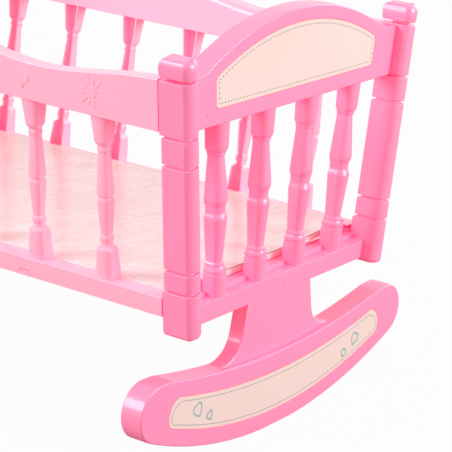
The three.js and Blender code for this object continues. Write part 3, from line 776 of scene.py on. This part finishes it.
@dataclass
class TurnedPost:
    """A corner post: flat back and sides, bulged front, four grooves and a pillow-like finial."""

    depth: float = 20.4
    block_depth: float = 22.0
    bulge: float = 4.5
    least_bulge: float = 0.4
    bulge_angle: float = math.radians(66.0)
    foot: tuple[tuple[float, float], ...] = ((0.0, 2.6), (0.9, 0.9), (2.8, 0.0))
    grooves: tuple[float, ...] = (36.8, 53.3, 135.3, 156.8)
    groove_depth: float = 2.8
    groove_half: float = 0.75
    groove_lip: float = 0.3
    top: float = 198.7
    neck_inset: float = 7.0
    neck_height: float = 2.2
    finial_height: float = 13.8
    finial_foot: float = 1.0
    finial_round: float = 3.0
    cap_inset: float = 4.2
    cap_height: float = 1.5
    cap_edge: float = 0.6
    profile_round: float = 0.7
    upright_round: float = 1.3
    front_steps: int = 18

    def profile(self) -> tuple[Array, Array]:
        """Draws the post's outline from its foot to its cap.

        Returns:
            The softened rows of height and inset, and the depth at each height.
        """
        rows = list(self.foot)
        for height in self.grooves:
            low, high = height - self.groove_half, height + self.groove_half
            rows += [
                (low - self.groove_lip, 0.0), (low, self.groove_depth),
                (high, self.groove_depth), (high + self.groove_lip, 0.0),
            ]
        neck_top = self.top + self.neck_height
        rows += [(self.top, 0.0), (self.top, self.neck_inset)]
        rows += [(neck_top, self.neck_inset), (neck_top, self.finial_foot)]
        angle = np.linspace(0.0, math.pi / 2, 9)[1:]
        low_turn = (1 - np.cos(angle), self.finial_foot * (1 - np.sin(angle)))
        high_turn = (1 + np.sin(angle), self.finial_round * (1 - np.cos(angle)))
        for share, lack in (low_turn, high_turn):
            rows += zip(neck_top + self.finial_height / 2 * share, lack)
        finial_top = neck_top + self.finial_height
        cap_top = finial_top + self.cap_height
        rows += [(finial_top, self.cap_inset), (cap_top - self.cap_edge, self.cap_inset)]
        rows += [(cap_top, self.cap_inset + self.cap_edge)]
        line = soften(np.array(rows), self.profile_round, steps=4, closed=False)
        between = (line[:, 0] > self.grooves[0]) & (line[:, 0] < self.grooves[-1])
        return line, np.where(between, self.depth, self.block_depth)

    def add(self, draft: Draft, share: float) -> None:
        """Adds the post that leans toward one side.

        Args:
            draft: the mesh that takes it.
            share: -1 for the front side's post and 1 for the back side's.
        """
        line, depth = self.profile()
        height, narrow = line.T
        bulge = np.maximum(self.bulge - narrow, self.least_bulge)
        section = bulged_section(
            POST_WIDTH / 2 - narrow, depth - narrow, bulge, self.front_steps, self.bulge_angle
        )
        section = soften(section, self.upright_round)
        draft.tube(lean(carry(section, height[:, None], 2), 1, share))


@dataclass(frozen=True)
class TurnedBaluster:
    """A turned-look baluster with a bulged front and a hollow back, open behind."""

    shares: tuple[tuple[float, float], ...]
    half_width: float
    depth: float
    bulge_share: float
    tuck_share: float
    axis_back: float
    wall: float = 1.8
    least_hollow: float = 1.6
    profile_round: float = 0.45
    edge_round: float = 0.5
    front_steps: int = 16

    def rings(self, height: float) -> Array:
        """Draws closed U-shaped rings up the baluster, on z = 0.

        The outer line is a half ellipse in front of two flat sides. Its depth follows its width
        by a share, about an axis behind the crease. The inner line is the same shape less the
        wall, and both open at the back.

        Args:
            height: the visible length. The ends run on by EMBED at both ends.

        Returns:
            Points as (levels, n, 3).
        """
        table = np.array(self.shares) * [height, self.half_width]
        table[[0, -1], 0] += [-EMBED, EMBED]
        level, half = soften(table, self.profile_round, steps=4, closed=False).T
        lack = 1.0 - half / self.half_width
        depth = self.depth * (1.0 - self.tuck_share * lack)
        bulge = half * self.bulge_share
        outer = bulged_section(half, depth, bulge, self.front_steps)
        inner = bulged_section(
            np.maximum(half - self.wall, self.least_hollow), depth,
            np.maximum(bulge - self.wall, 0.0), self.front_steps,
        )
        inner[:, 1:-1, 0] -= self.wall / 2
        loop = np.concatenate([outer, inner[:, ::-1]], axis=1)
        loop[..., 0] -= self.axis_back * np.maximum(lack, 0.0)[:, None]
        return carry(soften(loop, self.edge_round), level[:, None], 2)


END_BALUSTER = TurnedBaluster(
    shares=(
        (0, 1), (0.129, 0.969), (0.132, 0.80), (0.137, 0.80), (0.14, 0.94), (0.156, 0.94),
        (0.16, 0.80), (0.17, 0.74), (0.186, 0.73), (0.196, 0.61), (0.448, 0.945), (0.463, 0.89),
        (0.475, 0.81), (0.485, 0.776), (0.52, 0.786), (0.526, 0.82), (0.542, 0.944),
        (0.56, 0.983), (0.797, 0.617), (0.803, 0.60), (0.807, 0.69), (0.814, 0.70),
        (0.816, 0.60), (0.82, 0.75), (0.829, 0.75), (0.832, 0.62), (0.836, 0.86),
        (0.855, 0.94), (1, 1.02),
    ),
    half_width=8.1, depth=9.3, bulge_share=0.66, tuck_share=0.5, axis_back=3.1,
)
SIDE_BALUSTER = TurnedBaluster(
    shares=(
        (0, 1), (0.17, 0.82), (0.185, 0.75), (0.196, 0.50), (0.217, 0.47), (0.225, 0.53),
        (0.24, 0.56), (0.255, 0.53), (0.265, 0.464), (0.466, 0.675), (0.486, 0.66),
        (0.492, 0.53), (0.499, 0.53), (0.503, 0.66), (0.53, 0.685), (0.762, 0.495),
        (0.77, 0.50), (0.776, 0.55), (0.79, 0.555), (0.798, 0.51), (0.81, 0.525),
        (0.822, 0.67), (0.837, 0.76), (0.856, 0.775), (1, 1.02),
    ),
    half_width=8.0, depth=10.8, bulge_share=0.56, tuck_share=1.0, axis_back=4.1,
)


@dataclass
class EndPanel:
    """The crib's end: posts, arched header with its recess, balusters and the lower rail."""

    header_front: float = -6.0
    header_back: float = -25.0
    header_bottom: float = 156.9
    header_round: float = 1.6
    apex: float = 231.0
    arch_radius: float = 246.0
    arch_end: float = 118.0
    flare_radius: float = 27.0
    plate_bottom: float = 169.3
    plate_half_bottom: float = 107.0
    plate_half_top: float = 109.5
    plate_border: float = 11.0
    plate_corner: float = 4.6
    rail_bottom: float = 4.2
    rail_round: float = 0.9
    ledge: float = 19.5
    lip: float = 22.7
    rail_front: float = -7.0
    lip_front: float = -17.3
    rail_back: float = -31.0
    rear_reach: float = 119.1
    channel_back: float = -22.3
    channel_reach: float = 112.0
    channel_roof: float = 16.3
    channel_front: float = -9.8
    channel_lap: float = 0.2
    stop_lift: float = 0.1
    stop_embed: float = 1.0
    baluster_crease: float = -12.6
    baluster_shares: tuple[float, ...] = (-0.622, -0.209, 0.209, 0.626)
    gate_marks: tuple[Vector3, ...] = ((-117.6, 167.6, -6.0), (1.8, 12.4, -7.0))
    gate_radius: float = 1.8
    gate_rise: float = 0.5
    gate_round: float = 0.3
    gate_points: int = 24
    arch_points: int = 81
    flare_points: int = 10
    plate_arch_points: int = 61
    plate_corner_points: int = 7
    rail_stations: int = 25

    def header_outline(self) -> Array:
        """Draws the header's silhouette: an arch that flares to level at the posts.

        Returns:
            Points in Y and Z as (n, 2), counter-clockwise.
        """
        slope = math.asin(self.arch_end / self.arch_radius)
        turn = np.linspace(slope, -slope, self.arch_points)
        arch = high_arc(turn, self.apex, self.arch_radius)
        centre = arch[0] + self.flare_radius * np.array([math.sin(slope), math.cos(slope)])
        levels = (self.header_bottom, centre[1] - self.flare_radius)
        foot = [[post_wall(level) + EMBED, level] for level in levels]
        turn = np.linspace(0.0, slope, self.flare_points)[:-1]
        flare = centre - self.flare_radius * np.stack([np.sin(turn), np.cos(turn)], axis=1)
        right = np.vstack([foot, flare])
        return np.vstack([right, arch, right[::-1] * MIRROR])

    def plate_outline(self, shrink: float) -> Array:
        """Draws the header plate's silhouette, an arch over a straight foot.

        The outline is cut back round each of its four corners, and a parabola through the cut
        ends with the corner as its control point closes each cut.

        Args:
            shrink: how far each edge moves inward.

        Returns:
            Points in Y and Z as (n, 2), counter-clockwise.
        """
        radius = self.arch_radius - self.plate_border - shrink
        end = math.asin((self.plate_half_top - shrink) / radius)
        turn = np.linspace(end, -end, self.plate_arch_points)
        arch = high_arc(turn, self.apex - self.plate_border - shrink, radius)
        right = np.array([self.plate_half_bottom - shrink, self.plate_bottom + shrink])
        left = right * MIRROR
        cut = self.plate_corner - shrink
        rounds = [
            parabola(
                here + cut * unit(before - here), here, here + cut * unit(after - here),
                self.plate_corner_points,
            )
            for before, here, after in (
                (arch[-1], left, right), (left, right, arch[0]), (right, arch[0], arch[1]),
                (arch[-3], arch[-1], left),
            )
        ]
        clear = [np.linalg.norm(arch - corner, axis=1) > cut for corner in (arch[0], arch[-1])]
        return np.vstack([*rounds[:3], arch[clear[0] & clear[1]], rounds[3]])

    def add_rail(self, draft: Draft) -> None:
        """Adds the lower rail: a ledge in front, a lip behind it and a channel below.

        The front length is a section in X and Z carried along Y to the leaning post walls. The
        rear length stops short of the side panels, and two blocks close the channel's ends.

        Args:
            draft: the mesh that takes it.
        """
        lip_back = self.channel_back + self.channel_lap
        section = soften(np.array([
            [self.rail_front, self.rail_bottom], [self.rail_front, self.ledge],
            [self.lip_front, self.ledge], [self.lip_front, self.lip],
            [lip_back, self.lip], [lip_back, self.channel_roof],
            [self.channel_front, self.channel_roof], [self.channel_front, self.rail_bottom],
        ]), self.rail_round, steps=4)
        reach = post_wall(section[:, 1]) + EMBED
        stations = np.linspace(-1.0, 1.0, self.rail_stations)[:, None]
        draft.tube(carry(section, stations * reach, 1))
        rear = rectangle(self.rail_back, self.rail_bottom, self.channel_back, self.lip)
        stop = rectangle(
            self.channel_back - self.stop_embed, self.rail_bottom + self.stop_lift,
            self.channel_front + self.stop_embed, self.channel_roof + self.stop_embed,
        )
        for low, high, line in (
            (-self.rear_reach, self.rear_reach, soften(rear, self.rail_round, steps=4)),
            (-self.rear_reach, -self.channel_reach, stop),
            (self.channel_reach, self.rear_reach, stop),
        ):
            draft.bar(line, low, high)

    def add_gate_marks(self, draft: Draft) -> None:
        """Adds the two small raised discs, one on the header and one on the lower rail.

        Args:
            draft: the mesh that takes them.
        """
        for across, height, face in self.gate_marks:
            mark = disc(self.gate_radius, self.gate_points, np.array([across, height]))
            back, front = face - self.gate_rise, face + self.gate_rise
            draft.slab(mark, back, front, self.gate_round, steps=2)

    def build(self, place: Place, looks: Finishes) -> None:
        """Makes one end panel out of its posts, header and rail, its balusters and its plate.

        Args:
            place: which end it stands at.
            looks: the finishes.
        """
        body = Draft(f"end_frame_{place.label}")
        for share in (-1.0, 1.0):
            TurnedPost().add(body, share)
        body.slab(
            self.header_outline(), self.header_back, self.header_front, self.header_round,
            hole=self.plate_outline(0.0),
        )
        self.add_rail(body)
        self.add_gate_marks(body)
        body.finish(place, looks.pink, f"end_panel_{place.label}")
        bars = Draft(f"end_balusters_{place.label}")
        for share in self.baluster_shares:
            stretch = 1.0 / math.cos(math.atan(share * LEAN))
            rings = END_BALUSTER.rings((self.header_bottom - self.ledge) * stretch)
            foot = np.array([self.baluster_crease, 0.0, self.ledge * stretch])
            bars.tube(lean(rings + foot, 1, share))
        bars.finish(place, looks.pink, f"end_panel_{place.label}")
        plate = PrintedPlate(
            "header", self.header_front, line_inset=3.2, line_width=0.9, line_period=3.9,
            drawn_share=0.4,
        )
        plate.add_plate(self.plate_outline, place, looks)
        plate.add_line(self.plate_outline, place, looks)


@dataclass(frozen=True)
class Relief:
    """The small raised pictures on a side's top rail, in the panel's upright frame."""

    level: float = 174.5
    root: float = 0.8
    rise: float = 0.45
    edge_round: float = 0.55
    heart_width: float = 13.0
    heart_height: float = 12.5
    heart_drop: float = 1.0
    sun_lift: float = 2.5
    sun_radius: float = 4.7
    sun_points: int = 28
    ray_count: int = 12
    ray_start: float = 6.4
    ray_reaches: tuple[float, float] = (10.4, 12.6)
    ray_half_foot: float = 0.75
    ray_half_tip: float = 0.25
    ray_rise: float = 0.4
    ray_round: float = 0.2

    def add_heart(self, draft: Draft, along: float) -> None:
        """Adds a pillow-like heart at a place along the rail."""
        self._raise(draft, heart_outline(self.heart_width, self.heart_height)
                    + np.array([along, self.level - self.heart_drop]))

    def add_sun(self, draft: Draft, along: float) -> None:
        """Adds a round face with thin rays, every other one shorter.

        Args:
            draft: the mesh that takes it.
            along: its place along the rail.
        """
        middle = np.array([along, self.level + self.sun_lift])
        self._raise(draft, disc(self.sun_radius, self.sun_points, middle))
        for number in range(self.ray_count):
            reach = self.ray_reaches[number % 2]
            ray = np.array([
                [self.ray_start, -self.ray_half_foot], [reach, -self.ray_half_tip],
                [reach, self.ray_half_tip], [self.ray_start, self.ray_half_foot],
            ])
            ray = middle + turned(ray, 2 * math.pi * (number + 0.5) / self.ray_count)
            back, front = SIDE_FACE_OUT - self.root, SIDE_FACE_OUT + self.ray_rise
            draft.slab(ray, back, front, self.ray_round, steps=1)

    def _raise(self, draft: Draft, outline: Array) -> None:
        """Adds a low pillow with an outline."""
        back, front = SIDE_FACE_OUT - self.root, SIDE_FACE_OUT + self.rise
        draft.slab(outline, back, front, self.edge_round, steps=3)


@dataclass
class SidePanel:
    """A long side: the waved top rail, six balusters and the lower rail with its ledge."""

    reach: float = 221.0
    seam: float = 1.7
    rail_bottom: float = 12.8
    rail_round: float = 0.7
    ledge: float = 28.0
    wall: float = 3.0
    flange: float = 2.8
    web: float = 3.5
    web_foot: float = 5.0
    web_inset: float = 0.5
    web_lap: float = 1.0
    top_rail_bottom: float = 157.7
    top_rail_round: float = 0.8
    post_top: float = 197.4
    dip_top: float = 187.0
    crest_top: float = 199.5
    dip_place: float = 108.3
    post_side: float = 221.3
    stations: int = 121
    inner_round: float = 5.0
    outer_round: float = 1.2
    baluster_count: int = 6
    baluster_pitch: float = 65.9
    baluster_shift: float = -3.8
    baluster_setback: float = 6.3
    heart_numbers: tuple[int, ...] = (1, 4)
    emblem_shift: float = -1.4
    notch_place: float = 86.5
    notch_half: float = 5.5
    notch_height: float = 4.8

    def top_at(self, along: Array) -> Array:
        """Works out the top edge: half a cosine wave from crest to dip, another up to the post.

        Args:
            along: distances from the middle of the crib.

        Returns:
            The heights there.
        """
        distance = np.abs(along)
        inner = 1 + np.cos(math.pi * distance / self.dip_place)
        beyond = (distance - self.dip_place) / (self.post_side - self.dip_place)
        return self.dip_top + np.where(
            distance < self.dip_place,
            (self.crest_top - self.dip_top) * inner / 2,
            (self.post_top - self.dip_top) * (1 - np.cos(math.pi * beyond)) / 2,
        )

    def add_top_rail(self, draft: Draft) -> None:
        """Adds the top rail: a section in the leaning frame carried along the panel.

        Args:
            draft: the mesh that takes it.
        """
        along = np.linspace(self.reach - self.seam, self.seam - self.reach, self.stations)
        inner = SIDE_FACE_OUT - SIDE_THICKNESS
        outer_in, outer_drop = edge_rounding(self.outer_round, steps=3)
        inner_drop, inner_in = edge_rounding(self.inner_round, steps=7)
        out = np.concatenate([SIDE_FACE_OUT - outer_in, inner + inner_in])
        slope = (out - SIDE_FACE_OUT) * LEAN - np.concatenate([outer_drop, inner_drop])
        high = (self.top_at(along) * ALONG_LEAN)[:, None] + slope
        low = np.full((len(along), 2), self.top_rail_bottom * ALONG_LEAN)
        height = np.concatenate([low, high], axis=1)
        out = np.broadcast_to(np.concatenate([[inner, SIDE_FACE_OUT], out]), height.shape)
        section = soften(np.stack([out, height], axis=-1), self.top_rail_round)
        draft.tube(lean(carry(section, along[:, None], 1), 0))

    def add_lower_rail(self, draft: Draft) -> None:
        """Adds the lower rail, whose bottom edge is raised in steps at its two notches.

        Args:
            draft: the mesh that takes it.
        """
        reach, under = self.reach - self.seam, self.ledge - self.flange
        steps = np.array([-1, -1, 1, 1]) * self.notch_half
        along = [[-reach], steps - self.notch_place, steps + self.notch_place, [reach]]
        along = np.concatenate(along)
        raised = np.array([0, 0, 1, 1, 0, 0, 1, 1, 0, 0])
        bottom = self.rail_bottom + raised * self.notch_height
        outer = side_face(0.0) + bottom * LEAN
        face = side_face(self.ledge)
        inner = face - SIDE_THICKNESS
        out = (outer - self.wall, outer, face, inner, inner, side_face(under) - self.wall)
        height = (bottom, bottom, self.ledge, self.ledge, under, under)
        section = [np.stack(np.broadcast_arrays(*row), axis=-1) for row in (out, height)]
        section = soften(np.stack(section, axis=-1), self.rail_round, steps=4)
        draft.tube(carry(section, along[:, None], 1))
        foot = side_face(self.rail_bottom)
        web_top = self.ledge - self.web_inset
        web = np.array([
            [inner, under - self.web_lap],
            [foot - SIDE_FACE_OUT - self.web_foot, self.rail_bottom],
            [foot - self.web_inset, self.rail_bottom],
            [face - self.web_inset, web_top], [inner, web_top],
        ])
        for low, high in ((-reach, self.web - reach), (reach - self.web, reach)):
            draft.bar(web, low, high)

    def build(self, place: Place, looks: Finishes) -> None:
        """Makes one side panel: its rails, its balusters and the pictures over them.

        Args:
            place: which side it stands on.
            looks: the finishes.
        """
        rails = Draft(f"side_rails_{place.label}")
        self.add_top_rail(rails)
        self.add_lower_rail(rails)
        bars = Draft(f"side_balusters_{place.label}")
        upright = SIDE_BALUSTER.rings((self.top_rail_bottom - self.ledge) * ALONG_LEAN)
        crease = SIDE_FACE_OUT - self.baluster_setback
        pictures = Draft(f"side_emblems_{place.label}")
        relief = Relief()
        for number in range(self.baluster_count):
            along = (number - (self.baluster_count - 1) / 2) * self.baluster_pitch
            along += self.baluster_shift
            bars.tube(lean(upright + np.array([crease, along, self.ledge * ALONG_LEAN]), 0))
            add = relief.add_heart if number in self.heart_numbers else relief.add_sun
            add(pictures, along + self.emblem_shift)
        pictures.points = [lean(points, 0) for points in pictures.points]
        for draft in (rails, bars, pictures):
            draft.finish(place, looks.light_pink, f"side_panel_{place.label}")


@dataclass
class Rocker:
    """The curved beam that the cradle rocks on, its pedestal and its plate."""

    front: float = -3.0
    back: float = -22.5
    beam_round: float = 1.5
    tread_low: float = -106.0
    tread_radius: float = 432.0
    rest_half: float = 20.0
    top_low: float = -44.0
    top_radius: float = 750.0
    top_corner: float = 147.0
    end_radius: float = 22.5
    end_reach: float = 182.0
    pedestal_front: float = -8.5
    pedestal_back: float = -22.0
    pedestal_low: float = -54.0
    pedestal_round: float = 1.3
    head_half: float = 43.8
    head_height: float = 3.9
    waist_half: float = 48.5
    waist_height: float = -20.0
    toe_half: float = 76.0
    plug_half: float = 36.8
    plug_low: float = -1.5
    plug_high: float = 16.0
    plug_front: float = -10.1
    plug_corner: float = 0.8
    plug_round: float = 0.3
    plate_low: float = -93.0
    plate_low_radius: float = 420.0
    plate_low_corner: float = 139.5
    plate_top: float = -60.0
    plate_top_radius: float = 600.0
    plate_top_corner: float = 135.0
    plate_half: float = 147.5
    hearts: tuple[Vector3, ...] = (
        (-110.5, -62.8, 12.6), (-94.8, -71.6, 8.8), (95.2, -72.8, 8.4), (111.2, -64.6, 12.0),
    )
    heart_width_share: float = 0.95
    heart_round_share: float = 0.5
    heart_tilt: float = 0.6
    heart_line: float = 1.5
    end_points: int = 33
    tread_points: int = 45
    top_points: int = 61
    sweep_points: int = 17
    plate_end_points: int = 25

    def beam_outline(self) -> Array:
        """Draws the beam's silhouette.

        The tread is an arc on each side of a short flat. A circle inside it, tangent to it,
        makes each round end. A straight line tangent to that circle runs up to the corner of the
        beam's upper arc.

        Returns:
            Points in Y and Z as (n, 2), counter-clockwise.
        """
        arc_low = self.tread_low - low_arc(self.rest_half, 0.0, self.tread_radius)[1]
        inner_radius = self.tread_radius - self.end_radius
        centre = low_arc(self.end_reach - self.end_radius, arc_low + self.end_radius, inner_radius)
        corner = low_arc(self.top_corner, self.top_low, self.top_radius)
        across, rise = corner - centre
        low = math.asin(centre[0] / inner_radius) - math.pi / 2
        high = math.atan2(rise, across) - math.acos(self.end_radius / math.hypot(across, rise))
        end = circle(self.end_radius, np.linspace(low, high, self.end_points), centre)
        end = np.vstack([end, corner])
        across = np.linspace(self.rest_half, end[0, 0], self.tread_points)[:-1]
        tread = low_arc(across, arc_low, self.tread_radius)
        across = np.linspace(self.top_corner, -self.top_corner, self.top_points)[1:-1]
        top = low_arc(across, self.top_low, self.top_radius)
        return np.vstack([tread[::-1] * MIRROR, tread, end, top, end[::-1] * MIRROR])

    def pedestal_outline(self) -> Array:
        """Draws the pedestal's silhouette, whose sides sweep out onto the beam's top.

        Returns:
            Points in Y and Z as (n, 2), counter-clockwise.
        """
        toe = low_arc(self.toe_half, self.top_low, self.top_radius)
        waist = np.array([self.waist_half, self.waist_height])
        slope = (self.waist_half - self.head_half) / (self.head_height - self.waist_height)
        control = np.array([self.waist_half + (self.waist_height - toe[1]) * slope, toe[1]])
        sweep = parabola(waist, control, toe, self.sweep_points)
        head, foot = [self.head_half, self.head_height], [self.toe_half, self.pedestal_low]
        right = np.vstack([head, sweep, foot])
        return np.vstack([right * MIRROR, right[::-1]])

    def plate_outline(self, shrink: float) -> Array:
        """Draws the plate's silhouette between two arcs, with half-oval ends.

        Args:
            shrink: how far each edge moves inward.

        Returns:
            Points in Y and Z as (n, 2), counter-clockwise.
        """
        low_arc_sizes = (self.plate_low + shrink, self.plate_low_radius)
        top_arc_sizes = (self.plate_top - shrink, self.plate_top_radius)
        low_half, top_half = self.plate_low_corner - shrink, self.plate_top_corner - shrink
        low_corner = low_arc(low_half, *low_arc_sizes)
        top_corner = low_arc(top_half, *top_arc_sizes)
        middle = (low_corner + top_corner) / 2
        outward = np.array([self.plate_half - shrink - middle[0], 0.0])
        turn = np.linspace(-math.pi / 2, math.pi / 2, self.plate_end_points)[:, None]
        end = middle + (top_corner - middle) * np.sin(turn) + outward * np.cos(turn)
        share = np.linspace(-1.0, 1.0, self.top_points)[1:-1]
        low = low_arc(low_half * share, *low_arc_sizes)
        top = low_arc(-top_half * share, *top_arc_sizes)
        return np.vstack([low, end, top, end[::-1] * MIRROR])

    def add_hearts(self, draft: Draft, front: float) -> None:
        """Adds the printed hearts, tilted toward the plate's middle.

        Args:
            draft: the mesh that takes them.
            front: the place of the print along X.
        """
        for across, height, size in self.hearts:
            outline = heart_outline(self.heart_width_share * size, size, self.heart_round_share)
            tilt = math.asin(across / self.plate_top_radius)
            tilt -= math.copysign(self.heart_tilt, across)
            outline = turned(outline, tilt) + np.array([across, height])
            draft.dotted_line(outline, front, self.heart_line, self.heart_line)

    def build(self, place: Place, looks: Finishes) -> None:
        """Makes one rocker with its pedestal, its plate and the plate's print.

        Args:
            place: which end it stands under.
            looks: the finishes.
        """
        body = Draft(f"rocker_body_{place.label}")
        body.slab(
            self.beam_outline(), self.back, self.front, self.beam_round,
            hole=self.plate_outline(0.0),
        )
        back = self.pedestal_back
        body.slab(self.pedestal_outline(), back, self.pedestal_front, self.pedestal_round)
        plug = rectangle(-self.plug_half, self.plug_low, self.plug_half, self.plug_high)
        plug = soften(plug, self.plug_corner)
        body.slab(plug, back, self.plug_front, self.plug_round, steps=2)
        body.finish(place, looks.pink, f"rocker_{place.label}")
        plate = PrintedPlate("rocker", self.front, line_inset=3.5, line_width=0.4, line_period=1.5)
        plate.add_plate(self.plate_outline, place, looks)
        hearts = Draft(f"rocker_hearts_{place.label}")
        self.add_hearts(hearts, plate.ink_front)
        hearts.finish(place, looks.heart_ink, closed=False)
        plate.add_line(self.plate_outline, place, looks)


@dataclass
class FloorBoard:
    """The board between the four lower rails, bowed up at its back edge, and the bars below."""

    half_length: float = 216.1
    half_width: float = 119.38
    bottom: float = 23.0
    thickness: float = 5.0
    bow: float = 5.0
    edge_round: float = 0.8
    edge_zone: float = 1.5
    stations: int = 33
    # Sizes of the painted shadow line along the board's ends.
    line_inset: float = 0.3
    line_width: float = 1.2
    line_rise: float = 0.04
    line_end: float = 2.0

    def rise_at(self, across: Array) -> Array:
        """Returns how far the board is bowed up: bow * (y / half width)^2 over its back half."""
        return self.bow * np.square(np.clip(across / self.half_width, 0.0, None))

    def rings(self) -> Array:
        """Works out the board's sections in X and Z from the back edge to the front one.

        Returns:
            Points as (sections, n, 3).
        """
        depth, narrow = edge_rounding(self.edge_round, steps=3)
        reach = self.half_width - self.edge_zone
        inner = np.linspace(reach, -reach, self.stations)
        across = np.concatenate([self.half_width - depth, inner, depth[::-1] - self.half_width])
        narrow = np.concatenate([narrow, np.zeros(self.stations), narrow[::-1]])
        right, low = self.half_length - narrow, self.bottom + narrow
        outline = rectangle(-right, low, right, self.bottom + self.thickness - narrow)
        points = carry(soften(outline, self.edge_round, steps=4), across[:, None], 1)
        points[..., 2] += self.rise_at(points[..., 1])
        return points

    def build(self, looks: Finishes) -> None:
        """Makes the board and the painted shadow line along its two ends, and dresses the bars
        below it.

        Args:
            looks: the finishes.
        """
        board = Draft("floor_board_fine")
        board.tube(self.rings())
        board.finish(Place.MIDDLE, looks.board, "floor_board")
        # Painted shade: a brown strip on the board's ends stands for the shaded gap under its edge.
        line = Draft("board_edge_shadow_line")
        level = self.bottom + self.thickness + self.line_rise
        reach = self.half_width - self.line_end
        for side in (-1.0, 1.0):
            middle = side * (self.half_length - self.line_inset - self.line_width / 2)
            edges = middle + self.line_width * np.array([-0.5, 0.5])
            x, y = np.meshgrid(edges, np.linspace(-reach, reach, self.stations), indexing="ij")
            line.sheet(np.stack([x, y, level + self.rise_at(y)], axis=-1))
        line.finish(Place.MIDDLE, looks.board_edge_shadow, closed=False)
        for place in (Place.RIGHT, Place.LEFT):
            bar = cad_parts[f"cross_bar_{place.label}"]
            bar.data.materials.clear()
            bar.data.materials.append(looks.light_pink.material)


@dataclass(frozen=True)
class Lamp:
    """A square soft lamp: its place and the length of its edge in metres, and its watts."""

    name: str
    place: Vector3
    size: float
    power: float
    aim: Vector3 = (0.1, 0.0, 0.2)

    def build(self) -> None:
        """Hangs the lamp and turns it to what it is aimed at."""
        data = bpy.data.lights.new(self.name, "AREA")
        data.size = self.size
        data.energy = self.power
        lamp = bpy.data.objects.new(self.name, data)
        lamp.location = self.place
        lamp.rotation_mode = "QUATERNION"
        toward = Vector(self.aim) - Vector(self.place)
        lamp.rotation_quaternion = toward.to_track_quat("-Z", "Y")
        bpy.context.scene.collection.objects.link(lamp)


@dataclass
class Studio:
    """The camera at the photograph's angle, a pale floor and soft white light."""

    place: Vector3 = (1.0853, -1.3344, 0.6529)
    right: Vector3 = (0.814682, 0.576558, 0.062241)
    down: Vector3 = (0.220669, -0.208961, -0.952702)
    ahead: Vector3 = (-0.536282, 0.789883, -0.297466)
    focal_pixels: float = 2131.0
    frame_pixels: float = 452.0
    sensor_width: float = 36.0
    clip_start: float = 0.05
    floor_half: float = 6.0
    floor_colour: tuple[float, ...] = (0.26, 0.25, 0.25, 1.0)
    floor_glow_share: float = 0.97
    room_light: float = 0.36
    lamps: tuple[Lamp, ...] = (
        Lamp("front_left_lamp", (-1.3, -2.1, 1.4), size=1.4, power=54.0),
        Lamp("front_right_lamp", (1.9, -1.5, 1.2), size=1.0, power=6.0),
        Lamp("top_lamp", (0.1, 0.2, 2.3), size=1.4, power=7.0),
        Lamp("right_lamp", (2.3, 1.2, 0.8), size=1.0, power=42.0),
        Lamp("back_lamp", (0.4, 2.4, 1.0), size=1.4, power=15.0),
    )

    def camera(self) -> None:
        """Makes the camera: its axes are the picture's right, up and backward directions."""
        data = bpy.data.cameras.new("view_camera")
        data.sensor_width = self.sensor_width
        data.lens = self.focal_pixels / self.frame_pixels * self.sensor_width
        data.clip_start = self.clip_start
        camera = bpy.data.objects.new("view_camera", data)
        axes = np.stack([np.array(self.right), -np.array(self.down), -np.array(self.ahead)], axis=1)
        turn = Matrix(axes.tolist()).to_4x4()
        camera.matrix_world = Matrix.Translation(Vector(self.place)) @ turn
        bpy.context.scene.collection.objects.link(camera)
        bpy.context.scene.camera = camera

    def floor(self) -> None:
        """Makes the pale floor, which shows almost white to the camera and keeps a soft shadow."""
        half = self.floor_half
        corners = carry(rectangle(-half, -half, half, half), 0.0, 2)
        mesh = bpy.data.meshes.new("studio_floor")
        mesh.from_pydata(corners.tolist(), [], [(0, 1, 2, 3)])
        floor = bpy.data.objects.new("studio_floor", mesh)
        bpy.context.scene.collection.objects.link(floor)
        material, wires, shader = new_material("pale_floor")
        wires.fill(shader, {"Base Color": self.floor_colour, "Roughness": 0.9})
        glow = wires.add("Emission")
        rays = wires.add("LightPath")
        share = wires.add("Math", {1: self.floor_glow_share}, operation="MULTIPLY")
        mix = wires.add("MixShader")
        wires.join(rays, "Is Camera Ray", share, 0)
        wires.join(share, "Value", mix, "Fac")
        wires.join(shader, "BSDF", mix, 1)
        wires.join(glow, "Emission", mix, 2)
        wires.join(mix, "Shader", wires.nodes["Material Output"], "Surface")
        mesh.materials.append(material)

    def world(self) -> None:
        """Makes the even white surroundings: full white where seen or mirrored, softer as light."""
        world = bpy.data.worlds.new("soft_room")
        world.use_nodes = True
        wires = Wiring(world.node_tree)
        background = wires.nodes["Background"]
        rays = wires.add("LightPath")
        seen = (rays, "Is Camera Ray")
        for kind in ("Is Glossy Ray", "Is Transmission Ray"):
            either = wires.add("Math", operation="MAXIMUM")
            wires.join(*seen, either, 0)
            wires.join(rays, kind, either, 1)
            seen = (either, "Value")
        strength = wires.add("MapRange", {"To Min": self.room_light, "To Max": 1.0})
        wires.join(*seen, strength, "Value")
        wires.join(strength, "Result", background, "Strength")
        wires.fill(background, {"Color": (1.0, 1.0, 1.0, 1.0)})
        bpy.context.scene.world = world

    def build(self) -> None:
        """Makes the camera, the floor, the surroundings and the lamps."""
        self.camera()
        self.floor()
        self.world()
        for lamp in self.lamps:
            lamp.build()
        bpy.context.scene.view_settings.view_transform = "Standard"


def main() -> None:
    """Builds the cradle's pieces in order."""
    logging.basicConfig(level=logging.INFO, format="%(name)s: %(message)s")
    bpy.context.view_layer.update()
    Studio().build()
    looks = Finishes.make()
    for place in (Place.RIGHT, Place.LEFT):
        EndPanel().build(place, looks)
        Rocker().build(place, looks)
    for place in (Place.FRONT, Place.BACK):
        SidePanel().build(place, looks)
    FloorBoard().build(looks)
    log.info("boxes written")


if __name__ == "__main__":
    main()
